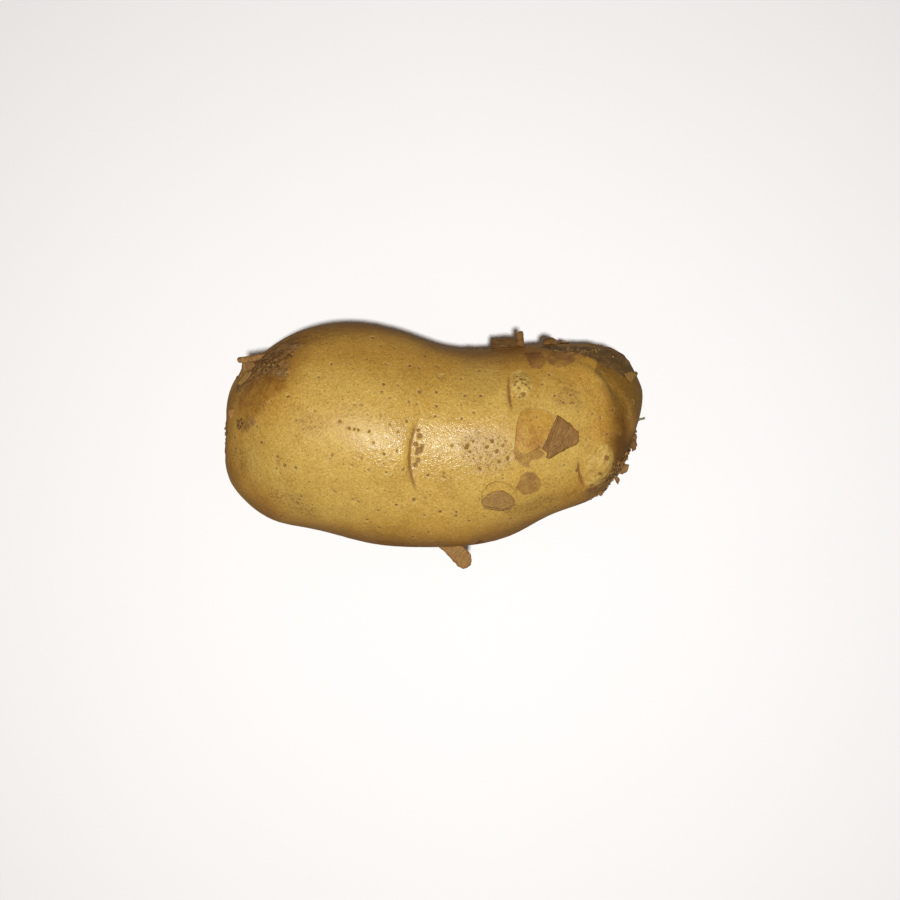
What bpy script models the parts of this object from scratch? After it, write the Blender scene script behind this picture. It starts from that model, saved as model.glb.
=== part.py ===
"""A potato: one tuber, lying on its side on a small flat spot.

The frame has +X along the tuber from the stolon end, where it hung on the plant, to the rose end,
+Y to the back and +Z up. The origin is on the flat spot that it rests on.
All sizes below are in millimetres and are turned into metres when a mesh is written.
"""

import math

import bmesh
import bpy
import numpy as np
from numpy.polynomial import Chebyshev

MM = 0.001

# The body.
HALF_LENGTH = 52.5
GIRTH_RADIUS = 25.0
# How blunt each end is: 2 is an ellipse's end, and more is flatter.
STOLON_BLUNTNESS = 3.2
ROSE_BLUNTNESS = 2.3
# Sections across the tuber: place along it, back edge, front edge, top and underside.
SECTIONS = (
    (-51.5, 12.0, -10.5, 32.5, 14.0),
    (-49.0, 16.0, -14.5, 36.0, 10.0),
    (-45.0, 19.5, -18.5, 40.0, 6.5),
    (-38.5, 23.5, -22.0, 44.5, 3.6),
    (-30.5, 27.0, -24.0, 47.5, 1.8),
    (-22.5, 27.7, -26.0, 48.5, 0.7),
    (-12.5, 27.2, -27.5, 48.5, 0.0),
    (-4.5, 25.0, -28.0, 47.5, -0.3),
    (3.5, 22.4, -28.0, 46.5, 0.0),
    (9.0, 21.8, -27.0, 46.0, 0.5),
    (15.0, 22.4, -26.0, 45.5, 1.2),
    (21.0, 22.0, -23.8, 44.5, 2.2),
    (27.0, 22.5, -20.6, 43.5, 3.6),
    (33.0, 23.0, -18.0, 42.0, 5.4),
    (39.0, 22.5, -16.0, 39.5, 7.6),
    (43.5, 21.0, -12.5, 37.0, 9.8),
    (47.5, 18.5, -6.0, 33.5, 12.8),
    (51.5, 14.0, 5.0, 27.0, 18.5),
)
SECTION_DEGREE = 10

# The mesh.
BALL_SUBDIVISIONS = 7
BODY_FACES = 7000
REST_HEIGHT = 0.0
SMALLEST_EDGE = 0.03

# Slow lumps all over the body: how many waves are summed, their length and their height.
LUMP_SEED = 7
LUMP_WAVES = 14
LUMP_LENGTH = 30.0
LUMP_HEIGHT = 0.35

# Eyes. A girth angle runs round the section: 0 is the back, 90 the top, 180 the front, 270 beneath.
# Each brow: place along the tuber, girth angle, half its length, its bow, its depth, its slant in degrees.
BROWS = {
    "middle": (-5.5, 99.4, 10.4, 2.7, 0.60, -8.4),
    "upper": (17.7, 61.0, 5.8, 0.35, 0.80, 8.0),
    "rose_front": (35.0, 128.5, 4.8, 0.5, 0.75, -11.0),
    "left_front": (-36.6, 109.0, 2.6, 0.5, 0.30, 10.0),
    "front_low": (-26.0, 203.0, 6.8, 1.4, 0.85, -6.0),
    "back_low": (-16.0, 341.0, 7.2, 1.5, 0.85, 5.0),
    "under": (8.0, 232.0, 6.4, 1.4, 0.80, 0.0),
    "rose_back_low": (28.0, 318.0, 5.6, 1.2, 0.90, 6.0),
    "rose_under": (37.0, 232.0, 4.6, 1.0, 0.90, -5.0),
    "rose_tip": (46.5, 345.0, 3.6, 0.9, 0.80, 0.0),
}
BROW_WALL_WIDTH = 0.4
BROW_SLOPE_WIDTH = 1.5
BROW_RIDGE_WIDTH = 2.0
BROW_RIDGE_SHARE = 0.15
BROW_HOLLOW_WIDTH = 3.0
BROW_HOLLOW_SHARE = 0.6

# The rose end's fold is an arc seen from above: its middle, radius, first and last angle and its drop.
FOLD_MIDDLE = (32.0, 6.4)
FOLD_RADIUS = 11.4
FOLD_FROM, FOLD_TO = -8.0, 84.0
FOLD_DROP = 0.7
FOLD_WIDTH = 1.2

# Buds, other swellings and dents: place along, girth angle, radius and height, negative for a dent.
SWELLINGS = (
    (-3.2, 93.0, 2.4, 0.25),
    (20.4, 55.8, 2.3, 0.90),
    (39.8, 124.0, 3.4, 1.40),
    (38.9, 134.0, 2.6, 0.60),
    (44.6, 8.0, 8.0, 1.20),
    (47.5, 10.0, 4.0, 0.60),
    (52.0, 0.0, 5.0, -0.50),
    (20.5, 182.0, 8.0, 1.10),
    (39.4, 114.0, 1.0, -0.55),
    (-22.6, 202.0, 2.4, 0.55),
    (-12.6, 343.0, 2.5, 0.60),
    (11.2, 233.0, 2.3, 0.50),
    (31.2, 320.0, 2.4, 0.70),
    (39.8, 231.0, 2.2, 0.80),
    (48.4, 346.0, 2.0, 0.70),
    (-52.3, 95.0, 4.5, -1.1),
    (3.0, 14.0, 8.0, -0.5),
    (-43.0, 60.0, 7.0, 0.5),
    (25.0, 112.0, 9.0, 0.4),
    (46.5, 100.0, 5.0, -0.5),
    (12.0, 175.0, 9.0, 0.3),
    (-30.0, 300.0, 10.0, 0.4),
)

# Loose skin. Each blade is rooted in the tuber and stands off it: place along, girth angle, heading
# (0 points to the rose end, 90 the way the girth angle grows), length, root width, tip width, lift, curl.
BLADE_THICKNESS = 0.6
BLADE_ROOT_DEPTH = 1.2
BLADE_SINK = 0.5
BLADE_TEAR = 0.3
BLADE_STEPS = 3
BLADES = {
    "folded_flap": (26.4, 91.0, 26.0, 7.0, 8.6, 5.4, 5.0, -12.0),
    "half_moon_flap": (15.4, 129.0, -92.0, 4.6, 7.6, 4.6, 9.0, -10.0),
    "stolon_flap": (-40.8, 36.0, 186.0, 8.2, 3.0, 2.0, 22.0, 6.0),
    "stolon_sliver": (-44.8, 48.5, 210.0, 3.2, 4.0, 2.4, 24.0, 6.0),
    "stolon_edge_scale": (-49.0, 76.0, 180.0, 2.4, 3.0, 1.8, 34.0, 0.0),
    "back_strip": (17.2, 25.0, -90.0, 3.8, 6.0, 5.6, 30.0, 0.0),
    "back_upright": (21.4, 20.0, -90.0, 3.8, 2.2, 1.8, 60.0, 0.0),
    "back_scale": (28.8, 22.0, -90.0, 3.0, 4.6, 2.8, 44.0, 0.0),
    "rose_flap": (47.4, 54.0, 60.0, 2.8, 2.6, 1.4, 26.0, 10.0),
    "rose_rootlet": (50.6, 146.0, 0.0, 2.6, 1.0, 0.8, 80.0, 0.0),
    "front_tongue": (3.6, 181.0, 62.0, 5.8, 3.8, 4.4, 56.0, 10.0),
    "rose_scale_1": (48.9, 150.0, 60.0, 2.6, 3.6, 2.0, 58.0, 10.0),
    "rose_scale_2": (46.4, 157.0, 80.0, 3.2, 3.0, 2.2, 56.0, 0.0),
    "rose_scale_3": (44.3, 162.0, 90.0, 2.6, 2.4, 1.2, 60.0, 0.0),
    "rose_scale_4": (40.4, 165.0, 90.0, 2.6, 3.0, 1.6, 56.0, 10.0),
    "under_scale": (-20.0, 238.0, 120.0, 5.0, 4.0, 2.4, 10.0, -8.0),
    "back_under_scale": (33.0, 338.0, -20.0, 5.0, 4.4, 2.0, 16.0, 0.0),
}

SKIN_COLOUR = (0.47, 0.28, 0.085, 1.0)
SKIN_ROUGHNESS = 0.5


def bluntness(along):
    """The power of the end's curve, which changes slowly from one end to the other."""
    return STOLON_BLUNTNESS + (ROSE_BLUNTNESS - STOLON_BLUNTNESS) * (along / HALF_LENGTH + 1) / 2


def roundness(along):
    """How far the section at this place is open: 1 in the middle and 0 at both ends."""
    share = np.clip(np.abs(along) / HALF_LENGTH, 0, 1)
    power = bluntness(along)
    return (1 - share**power) ** (1 / power)


def section_curves():
    """Smooth curves along the tuber for its side middle, half width, height middle and half height."""
    along, back, front, top, under = np.array(SECTIONS).T
    opening = roundness(along)
    wanted = ((back + front) / 2, (back - front) / 2 / opening, (top + under) / 2, (top - under) / 2 / opening)
    return [Chebyshev.fit(along, values, SECTION_DEGREE, domain=[-HALF_LENGTH, HALF_LENGTH]) for values in wanted]


CURVES = section_curves()


def section_point(along, opening, girth):
    """Points of the plain body: at a place along it, on a section open this far, at a girth angle."""
    side, half_width, level, half_height = (curve(along) for curve in CURVES)
    return np.stack(
        (
            along,
            side + half_width * opening * np.cos(girth),
            level + half_height * opening * np.sin(girth),
        ),
        axis=-1,
    )


def surface_frame(along, girth_deg):
    """A point of the plain body, with the way out, the way to the rose end and the way round it."""
    girth = math.radians(girth_deg)
    step = 0.05
    ends = np.clip(np.array([along - step, along + step]), -HALF_LENGTH, HALF_LENGTH)
    point = section_point(along, roundness(np.array(along)), girth)
    before, after = section_point(ends, roundness(ends), girth)
    onward = (after - before) / np.linalg.norm(after - before)
    turn = section_point(along, roundness(np.array(along)), girth + 0.01) - point
    out = np.cross(turn, onward)
    out /= np.linalg.norm(out)
    return point, out, onward, np.cross(onward, out)


def body_points(ball):
    """Moves a unit ball's points onto the plain body, evenly along its outline."""
    fine = -np.cos(np.linspace(0, math.pi, 4001)) * HALF_LENGTH
    opening = roundness(fine)
    walked = np.append(0, np.cumsum(np.hypot(np.diff(fine), GIRTH_RADIUS * np.diff(opening))))
    share = np.arccos(np.clip(-ball[:, 0], -1, 1)) / math.pi * walked[-1]
    girth = np.arctan2(ball[:, 2], ball[:, 1])
    return section_point(np.interp(share, walked, fine), np.interp(share, walked, opening), girth)


def lumps(points):
    """Slow waves in random directions, summed, for a body that is nowhere quite regular."""
    draw = np.random.default_rng(LUMP_SEED)
    total = np.zeros(len(points))
    for _ in range(LUMP_WAVES):
        heading = draw.normal(size=3)
        heading *= 2 * math.pi / (LUMP_LENGTH * draw.uniform(0.7, 1.6)) / np.linalg.norm(heading)
        total += np.sin(points @ heading + draw.uniform(0, 2 * math.pi))
    return total * LUMP_HEIGHT / math.sqrt(LUMP_WAVES / 2)


def hump(distance, width):
    """A bell curve of height 1."""
    return np.exp(-((distance / width) ** 2))


def near(points, frame, reach):
    """Where the points lie seen from a surface frame: onward, round, and 1 nearby but 0 far below it."""
    middle, out, onward, turn = frame
    offset = points - middle
    return offset @ onward, offset @ turn, (np.abs(offset @ out) < reach).astype(float)


def brow_relief(points, along, girth, half_length, bow, depth, slant):
    """A bowed groove, steep on the stolon side and sloping up to a shallow hollow on the bud's side."""
    onward, turn, here = near(points, surface_frame(along, girth), 14.0)
    tilt = math.radians(slant)
    forward = onward * math.cos(tilt) + turn * math.sin(tilt)
    aside = turn * math.cos(tilt) - onward * math.sin(tilt)
    fade = hump(aside, half_length * 0.8)
    from_brow = forward - bow * (aside / half_length) ** 2
    groove = hump(from_brow, np.where(from_brow < 0, BROW_WALL_WIDTH, BROW_SLOPE_WIDTH))
    ridge = BROW_RIDGE_SHARE * hump(from_brow + BROW_RIDGE_WIDTH, BROW_RIDGE_WIDTH)
    hollow = BROW_HOLLOW_SHARE * hump(from_brow - BROW_HOLLOW_WIDTH * 0.7, BROW_HOLLOW_WIDTH)
    return here * depth * fade * (ridge - groove - hollow)


def fold_relief(points):
    """The rose end's fold: the skin outside the arc lies lower than the skin inside it."""
    middle_x, middle_y = FOLD_MIDDLE
    offset_x, offset_y = points[:, 0] - middle_x, points[:, 1] - middle_y
    outside = np.hypot(offset_x, offset_y) - FOLD_RADIUS
    angle = np.degrees(np.arctan2(offset_y, offset_x))
    half_span = (FOLD_TO - FOLD_FROM) / 2
    fade = hump(angle - (FOLD_TO + FOLD_FROM) / 2, half_span * 0.75) * (points[:, 2] > GIRTH_RADIUS)
    ridge = 0.35 * hump(outside + FOLD_WIDTH, FOLD_WIDTH)
    step = -np.clip(outside / FOLD_WIDTH, 0, 1) * hump(np.maximum(outside, 0), 6 * FOLD_WIDTH)
    return FOLD_DROP * fade * (ridge + step)


def relief(points):
    """How far the real skin stands out from the plain body at these points."""
    height = lumps(points) + fold_relief(points)
    for brow in BROWS.values():
        height += brow_relief(points, *brow)
    for along, girth, radius, swell in SWELLINGS:
        onward, turn, here = near(points, surface_frame(along, girth), 14.0)
        height += here * swell * hump(np.hypot(onward, turn), radius)
    return height


def points_of(mesh):
    """The mesh's vertices in millimetres, one row each."""
    flat = np.empty(len(mesh.vertices) * 3)
    mesh.vertices.foreach_get("co", flat)
    return flat.reshape(-1, 3) / MM


def move_points(mesh, points):
    """Writes the vertices, given in millimetres."""
    mesh.vertices.foreach_set("co", (points * MM).ravel())
    mesh.update()


def new_object(name, form, collection):
    """Turns a bmesh into an object in the collection."""
    mesh = bpy.data.meshes.new(name)
    form.to_mesh(mesh)
    form.free()
    thing = bpy.data.objects.new(name, mesh)
    collection.objects.link(thing)
    return thing


def bake_modifiers(thing):
    """Replaces the object's mesh by what its modifiers make of it."""
    graph = bpy.context.evaluated_depsgraph_get()
    made = bpy.data.meshes.new_from_object(thing.evaluated_get(graph))
    thing.modifiers.clear()
    thing.data = made


def cut_rest_spot(thing):
    """Slices the underside off at the surface that the tuber lies on, and closes it with one flat face."""
    form = bmesh.new()
    form.from_mesh(thing.data)
    whole = form.verts[:] + form.edges[:] + form.faces[:]
    bottom = (0, 0, REST_HEIGHT * MM)
    near_enough = SMALLEST_EDGE * MM
    cut = bmesh.ops.bisect_plane(
        form, geom=whole, dist=near_enough, plane_co=bottom, plane_no=(0, 0, -1), clear_outer=True
    )
    rim = [piece for piece in cut["geom_cut"] if isinstance(piece, bmesh.types.BMEdge)]
    for edge in rim:
        for corner in edge.verts:
            corner.co.z = REST_HEIGHT * MM
    bmesh.ops.contextual_create(form, geom=[edge for edge in rim if len(edge.link_faces) == 1])
    bmesh.ops.recalc_face_normals(form, faces=form.faces[:])
    form.to_mesh(thing.data)
    form.free()


def make_tuber(collection):
    """A ball drawn out to the body, with its relief, thinned to fewer faces where it is smooth."""
    form = bmesh.new()
    bmesh.ops.create_icosphere(form, subdivisions=BALL_SUBDIVISIONS, radius=MM)
    tuber = new_object("tuber", form, collection)
    plain = body_points(points_of(tuber.data))
    move_points(tuber.data, plain)
    normals = np.empty(len(plain) * 3)
    tuber.data.vertices.foreach_get("normal", normals)
    move_points(tuber.data, plain + normals.reshape(-1, 3) * relief(plain)[:, None])
    thin = tuber.modifiers.new("fewer faces", "DECIMATE")
    thin.ratio = BODY_FACES / len(tuber.data.polygons)
    bake_modifiers(tuber)
    return tuber


def blade_points(grid, along, girth, heading, length, root_width, tip_width, lift, curl):
    """Bends a flat grid, from -1 to 1 each way, into a blade of skin that stands off the tuber."""
    plain, out, onward, turn = surface_frame(along, girth)
    root = plain + out * relief(plain[None])[0]
    aim = math.radians(heading)
    ahead = onward * math.cos(aim) + turn * math.sin(aim)
    across = np.cross(out, ahead)
    share = np.clip((grid[:, 0] + 1) / 2, 0, 1)
    rise = np.radians(lift + curl * share / 2)
    torn = np.random.default_rng(abs(round(10 * along))).uniform(-1, 1, len(grid)) * share
    half_width = (root_width + (tip_width - root_width) * share**1.5) / 2
    rounding = 0.35 * half_width * grid[:, 1] ** 2 * share**4
    reach = share * (length + BLADE_ROOT_DEPTH) - BLADE_ROOT_DEPTH - rounding + BLADE_TEAR * torn
    height = reach * np.sin(rise) - BLADE_SINK * (1 - share) ** 2
    return (
        root
        + ahead * (reach * np.cos(rise))[:, None]
        + out * height[:, None]
        + across * (grid[:, 1] * half_width + BLADE_TEAR * np.flip(torn))[:, None]
    )


def make_blade(name, blade, collection):
    """One piece of loose skin, as a thin closed sheet with a torn, rounded tip."""
    form = bmesh.new()
    bmesh.ops.create_grid(form, x_segments=BLADE_STEPS, y_segments=BLADE_STEPS, size=MM)
    bmesh.ops.triangulate(form, faces=form.faces[:])
    thing = new_object(name, form, collection)
    move_points(thing.data, blade_points(points_of(thing.data), *blade))
    sheet = thing.modifiers.new("thickness", "SOLIDIFY")
    sheet.thickness = BLADE_THICKNESS * MM
    sheet.offset = 0
    bake_modifiers(thing)


def join_blades(tuber, blades):
    """Makes one body of the tuber and its loose skin."""
    join = tuber.modifiers.new("loose skin", "BOOLEAN")
    join.operation = "UNION"
    join.operand_type = "COLLECTION"
    join.collection = blades
    join.solver = "EXACT"
    tidy = tuber.modifiers.new("no slivers", "WELD")
    tidy.merge_threshold = SMALLEST_EDGE * MM
    bake_modifiers(tuber)
    for thing in list(blades.objects):
        bpy.data.objects.remove(thing)
    bpy.data.collections.remove(blades)


def skin_material():
    """Plain ochre skin."""
    material = bpy.data.materials.new("potato skin")
    material.use_nodes = True
    shader = material.node_tree.nodes["Principled BSDF"]
    shader.inputs["Base Color"].default_value = SKIN_COLOUR
    shader.inputs["Roughness"].default_value = SKIN_ROUGHNESS
    shader.inputs["Metallic"].default_value = 0.0
    material.diffuse_color = SKIN_COLOUR
    return material


def main():
    for thing in list(bpy.data.objects):
        bpy.data.objects.remove(thing)
    potato = bpy.data.collections.new("potato")
    blades = bpy.data.collections.new("loose skin")
    bpy.context.scene.collection.children.link(potato)
    bpy.context.scene.collection.children.link(blades)
    tuber = make_tuber(potato)
    for name, blade in BLADES.items():
        make_blade(name, blade, blades)
    join_blades(tuber, blades)
    cut_rest_spot(tuber)
    tuber.data.materials.clear()
    tuber.data.materials.append(skin_material())
    tuber.data.shade_smooth()
    tuber.data.set_sharp_from_angle(angle=math.radians(40))


main()
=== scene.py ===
# %% [markdown]
# # A potato, from its plain solid to its finished look
#
# A potato is a swollen underground stem. One end, the stolon end, hung on the plant. The other, the
# rose end, is the growing tip. Its eyes are buds, and each lies in the hollow under a brow, the scar of
# a tiny leaf. The skin is a cork film thinner than paper: it has pores, scuffs and russet patches, and
# on a young potato it tears and hangs loose in scraps.
#
# The plain solid in the imported model has the body, the eyes and the larger scraps. This lesson replaces
# it with a much finer skin over the same form, and adds what makes a potato look real. The solid is
# loaded first, and its box is printed at the end beside the box of the finished pieces.

import math

import bmesh
import bpy
import numpy as np
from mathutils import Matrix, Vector, geometry, kdtree, noise
from mathutils.bvhtree import BVHTree
from numpy.polynomial import Chebyshev


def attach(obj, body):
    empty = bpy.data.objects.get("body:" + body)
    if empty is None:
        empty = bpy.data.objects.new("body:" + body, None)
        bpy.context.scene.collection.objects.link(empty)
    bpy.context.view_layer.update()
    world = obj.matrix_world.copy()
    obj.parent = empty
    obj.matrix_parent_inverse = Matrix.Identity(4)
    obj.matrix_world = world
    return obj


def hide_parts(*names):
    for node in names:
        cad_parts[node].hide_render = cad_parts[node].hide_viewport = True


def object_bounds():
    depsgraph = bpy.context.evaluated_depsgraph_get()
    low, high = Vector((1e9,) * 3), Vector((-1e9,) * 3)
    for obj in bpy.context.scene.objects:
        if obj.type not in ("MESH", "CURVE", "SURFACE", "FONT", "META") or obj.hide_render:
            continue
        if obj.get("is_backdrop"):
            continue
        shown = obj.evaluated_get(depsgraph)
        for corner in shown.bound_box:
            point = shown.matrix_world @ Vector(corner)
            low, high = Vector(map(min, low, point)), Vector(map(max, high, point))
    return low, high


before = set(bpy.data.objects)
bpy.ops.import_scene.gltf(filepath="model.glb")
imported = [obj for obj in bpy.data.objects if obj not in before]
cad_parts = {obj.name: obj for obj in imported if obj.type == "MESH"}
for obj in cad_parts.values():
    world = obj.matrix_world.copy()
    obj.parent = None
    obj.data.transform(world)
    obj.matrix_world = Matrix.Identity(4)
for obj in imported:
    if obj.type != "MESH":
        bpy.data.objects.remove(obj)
cad_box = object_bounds()
MM = 0.001
print("packed nodes:", sorted(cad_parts))

# %% [markdown]
# ## The form of the body
#
# A sphere that is only stretched looks like an egg. A real tuber is fuller on one side, a little bent
# and pinched where it grew round a stone. So the form is drawn as a boat builder draws a hull: sections
# across it at several places, with a smooth curve through their edges. Between the ends the curves are
# polynomials, and at the ends every section closes along the outline of a blunt ellipse.
#
# Everything is in millimetres here and is turned into metres only when a mesh is written. A place on
# the skin is told by two numbers: how far along the tuber it is, and its girth angle, which runs round
# the section: 0 is the back, 90 the top, 180 the front and 270 the underside.

# %% Sections of the body
HALF_LENGTH = 52.5
GIRTH_RADIUS = 25.0
STOLON_BLUNTNESS = 3.2
ROSE_BLUNTNESS = 2.3
# Place along the tuber, back edge, front edge, top and underside.
SECTIONS = (
    (-51.5, 12, -10.5, 32.5, 14), (-49, 16, -14.5, 36, 10), (-45, 19.5, -18.5, 40, 6.5),
    (-38.5, 23.5, -22, 44.5, 3.6), (-30.5, 27, -24, 47.5, 1.8), (-22.5, 27.7, -26, 48.5, 0.7),
    (-12.5, 27.2, -27.5, 48.5, 0), (-4.5, 25, -28, 47.5, -0.3), (3.5, 22.4, -28, 46.5, 0),
    (9, 21.8, -27, 46, 0.5), (15, 22.4, -26, 45.5, 1.2), (21, 22, -23.8, 44.5, 2.2),
    (27, 22.5, -20.6, 43.5, 3.6), (33, 23, -18, 42, 5.4), (39, 22.5, -16, 39.5, 7.6),
    (43.5, 21, -12.5, 37, 9.8), (47.5, 18.5, -6, 33.5, 12.8), (51.5, 14, 5, 27, 18.5),
)
SECTION_DEGREE = 10


def roundness(along):
    """How far the section at this place is open: 1 in the middle and 0 at both ends."""
    share = np.clip(np.abs(along) / HALF_LENGTH, 0, 1)
    power = STOLON_BLUNTNESS + (ROSE_BLUNTNESS - STOLON_BLUNTNESS) * (along / HALF_LENGTH + 1) / 2
    return (1 - share**power) ** (1 / power)


def section_curves():
    """Smooth curves along the tuber for its side middle, half width, height middle and half height."""
    along, back, front, top, under = np.array(SECTIONS).T
    opening = roundness(along)
    middles = ((back + front) / 2, (top + under) / 2)
    halves = ((back - front) / 2 / opening, (top - under) / 2 / opening)
    wanted = (middles[0], halves[0], middles[1], halves[1])
    whole = [-HALF_LENGTH, HALF_LENGTH]
    return [Chebyshev.fit(along, values, SECTION_DEGREE, domain=whole) for values in wanted]


CURVES = section_curves()


def section_point(along, opening, girth):
    """Points of the plain body: at a place along it, on a section open this far, at a girth angle."""
    side, half_width, level, half_height = (curve(along) for curve in CURVES)
    across = side + half_width * opening * np.cos(girth)
    return np.stack((along, across, level + half_height * opening * np.sin(girth)), axis=-1)


def surface_frame(along, girth_deg):
    """A point of the plain body, with the way out, the way to the rose end and the way round it."""
    girth = math.radians(girth_deg)
    ends = np.clip(np.array([along - 0.05, along + 0.05]), -HALF_LENGTH, HALF_LENGTH)
    here = roundness(np.array(along))
    point = section_point(along, here, girth)
    before, after = section_point(ends, roundness(ends), girth)
    onward = (after - before) / np.linalg.norm(after - before)
    out = np.cross(section_point(along, here, girth + 0.01) - point, onward)
    out /= np.linalg.norm(out)
    return point, out, onward, np.cross(onward, out)


def near(points, spot, reach=14.0):
    """Points seen from a spot on the skin: onward, round, and whether they are on its side of the body."""
    middle, out, onward, turn = surface_frame(*spot)
    offset = points - middle
    return offset @ onward, offset @ turn, np.abs(offset @ out) < reach


print("body length", 2 * HALF_LENGTH, "mm, sections", len(SECTIONS))

# %% [markdown]
# ## A ball with even faces
#
# The skin needs a mesh fine enough for its pores, about 0.4 mm from point to point, with faces of one
# size. A sphere of rings and segments crowds its faces at the poles. A cube that is subdivided and
# blown up to a ball doesn't: seven rounds give close to a hundred thousand squares. Its flat faces are
# spread with a tangent first, so that the squares stay alike from the middle of a face to its edge.
#
# The ball's points are then sent to the body. Their distance from the stolon end, measured as an angle,
# becomes a share of the walk along the body's outline, so no part of the skin is stretched.

# %% The fine ball and its way onto the body
BALL_ROUNDS = 7


def new_object(name, data):
    """An object linked into the scene."""
    thing = bpy.data.objects.new(name, data)
    bpy.context.scene.collection.objects.link(thing)
    return thing


def per_vertex(mesh, kind):
    """A place or a direction of every vertex, one row each."""
    flat = np.empty(len(mesh.vertices) * 3)
    mesh.vertices.foreach_get(kind, flat)
    return flat.reshape(-1, 3)


def move_points(mesh, points):
    """Writes the vertices, given in millimetres."""
    mesh.vertices.foreach_set("co", (points * MM).ravel())
    mesh.update()


def bake_modifiers(thing):
    """Replaces the object's mesh by what its modifiers make of it."""
    graph = bpy.context.evaluated_depsgraph_get()
    made = bpy.data.meshes.new_from_object(thing.evaluated_get(graph))
    thing.modifiers.clear()
    thing.data = made


def fine_ball(name):
    """A ball of even squares, as an object."""
    form = bmesh.new()
    bmesh.ops.create_cube(form, size=2 * MM)
    mesh = bpy.data.meshes.new(name)
    form.to_mesh(mesh)
    form.free()
    ball = new_object(name, mesh)
    finer = ball.modifiers.new("finer", "SUBSURF")
    finer.subdivision_type = "SIMPLE"
    finer.levels = finer.render_levels = BALL_ROUNDS
    bake_modifiers(ball)
    spread = np.tan(per_vertex(ball.data, "co") / MM * math.pi / 4)
    move_points(ball.data, spread / np.linalg.norm(spread, axis=1)[:, None])
    return ball


def body_points(ball):
    """Moves a unit ball's points onto the plain body, evenly along its outline."""
    fine = -np.cos(np.linspace(0, math.pi, 4001)) * HALF_LENGTH
    opening = roundness(fine)
    walked = np.append(0, np.cumsum(np.hypot(np.diff(fine), GIRTH_RADIUS * np.diff(opening))))
    share = np.arccos(np.clip(-ball[:, 0], -1, 1)) / math.pi * walked[-1]
    girth = np.arctan2(ball[:, 2], ball[:, 1])
    return section_point(np.interp(share, walked, fine), np.interp(share, walked, opening), girth)


skin = fine_ball("skin")
plain = body_points(per_vertex(skin.data, "co") / MM)
move_points(skin.data, plain)
outward = per_vertex(skin.data, "normal")
print("skin vertices", len(plain), "faces", len(skin.data.polygons))

# %% [markdown]
# ## Lumps, brows and buds
#
# The relief that the solid has comes first, from the same numbers, so that both have one form: slow
# lumps, brows with their hollows, buds, dents and the fold at the rose end. All of it is height along
# the skin's own direction, so the pieces can simply be added up. A bell curve makes a soft bump, and a
# brow is three of them side by side: a ridge, a groove and a hollow.

# %% Relief shared with the solid
LUMP_SEED = 7
LUMP_WAVES = 14
LUMP_LENGTH = 30.0
LUMP_STRETCH = (0.7, 1.6)
LUMP_HEIGHT = 0.35
# Place along the tuber, girth angle, half the brow's length, its bow, its depth and its slant.
BROWS = {
    "middle": (-5.5, 99.4, 10.4, 2.7, 0.60, -8.4),
    "upper": (17.7, 61.0, 5.8, 0.35, 0.80, 8.0),
    "rose_front": (35.0, 128.5, 4.8, 0.5, 0.75, -11.0),
    "left_front": (-36.6, 109.0, 2.6, 0.5, 0.30, 10.0),
    "front_low": (-26.0, 203.0, 6.8, 1.4, 0.85, -6.0),
    "back_low": (-16.0, 341.0, 7.2, 1.5, 0.85, 5.0),
    "under": (8.0, 232.0, 6.4, 1.4, 0.80, 0.0),
    "rose_back_low": (28.0, 318.0, 5.6, 1.2, 0.90, 6.0),
    "rose_under": (37.0, 232.0, 4.6, 1.0, 0.90, -5.0),
    "rose_tip": (46.5, 345.0, 3.6, 0.9, 0.80, 0.0),
}
BROW_WALL_WIDTH = 0.4
BROW_SLOPE_WIDTH = 1.5
BROW_RIDGE_WIDTH = 2.0
BROW_RIDGE_SHARE = 0.15
BROW_HOLLOW_WIDTH = 3.0
BROW_HOLLOW_SHARE = 0.6
FOLD_MIDDLE = (32.0, 6.4)
FOLD_RADIUS = 11.4
FOLD_FROM, FOLD_TO = -8.0, 84.0
FOLD_DROP = 0.7
FOLD_WIDTH = 1.2
FOLD_RIDGE_SHARE = 0.35
FOLD_OUTER_WIDTH = 7.2
# Place along the tuber, girth angle, radius and height, negative for a dent.
SWELLINGS = (
    (-3.2, 93, 2.4, 0.25), (20.4, 55.8, 2.3, 0.9), (39.8, 124, 3.4, 1.4), (38.9, 134, 2.6, 0.6),
    (44.6, 8, 8, 1.2), (47.5, 10, 4, 0.6), (52, 0, 5, -0.5), (20.5, 182, 8, 1.1), (39.4, 114, 1, -0.55),
    (-22.6, 202, 2.4, 0.55), (-12.6, 343, 2.5, 0.6), (11.2, 233, 2.3, 0.5), (31.2, 320, 2.4, 0.7),
    (39.8, 231, 2.2, 0.8), (48.4, 346, 2, 0.7), (-52.3, 95, 4.5, -1.1), (3, 14, 8, -0.5),
    (-43, 60, 7, 0.5), (25, 112, 9, 0.4), (46.5, 100, 5, -0.5), (12, 175, 9, 0.3), (-30, 300, 10, 0.4),
)


def hump(distance, width):
    """A bell curve of height 1."""
    return np.exp(-((distance / width) ** 2))


def lumps(points):
    """Slow waves in random directions, summed, for a body that is nowhere quite regular."""
    draw = np.random.default_rng(LUMP_SEED)
    total = np.zeros(len(points))
    for _ in range(LUMP_WAVES):
        heading = draw.normal(size=3)
        heading *= 2 * math.pi / (LUMP_LENGTH * draw.uniform(*LUMP_STRETCH)) / np.linalg.norm(heading)
        total += np.sin(points @ heading + draw.uniform(0, 2 * math.pi))
    return total * LUMP_HEIGHT / math.sqrt(LUMP_WAVES / 2)


def from_brow(points, along, girth, half_length, bow, depth, slant):
    """Distance from the brow's bowed line, how much of the brow is left here, and its side of the body."""
    onward, turn, here = near(points, (along, girth))
    tilt = math.radians(slant)
    forward = onward * math.cos(tilt) + turn * math.sin(tilt)
    aside = turn * math.cos(tilt) - onward * math.sin(tilt)
    return forward - bow * (aside / half_length) ** 2, hump(aside, half_length * 0.8), here


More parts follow.
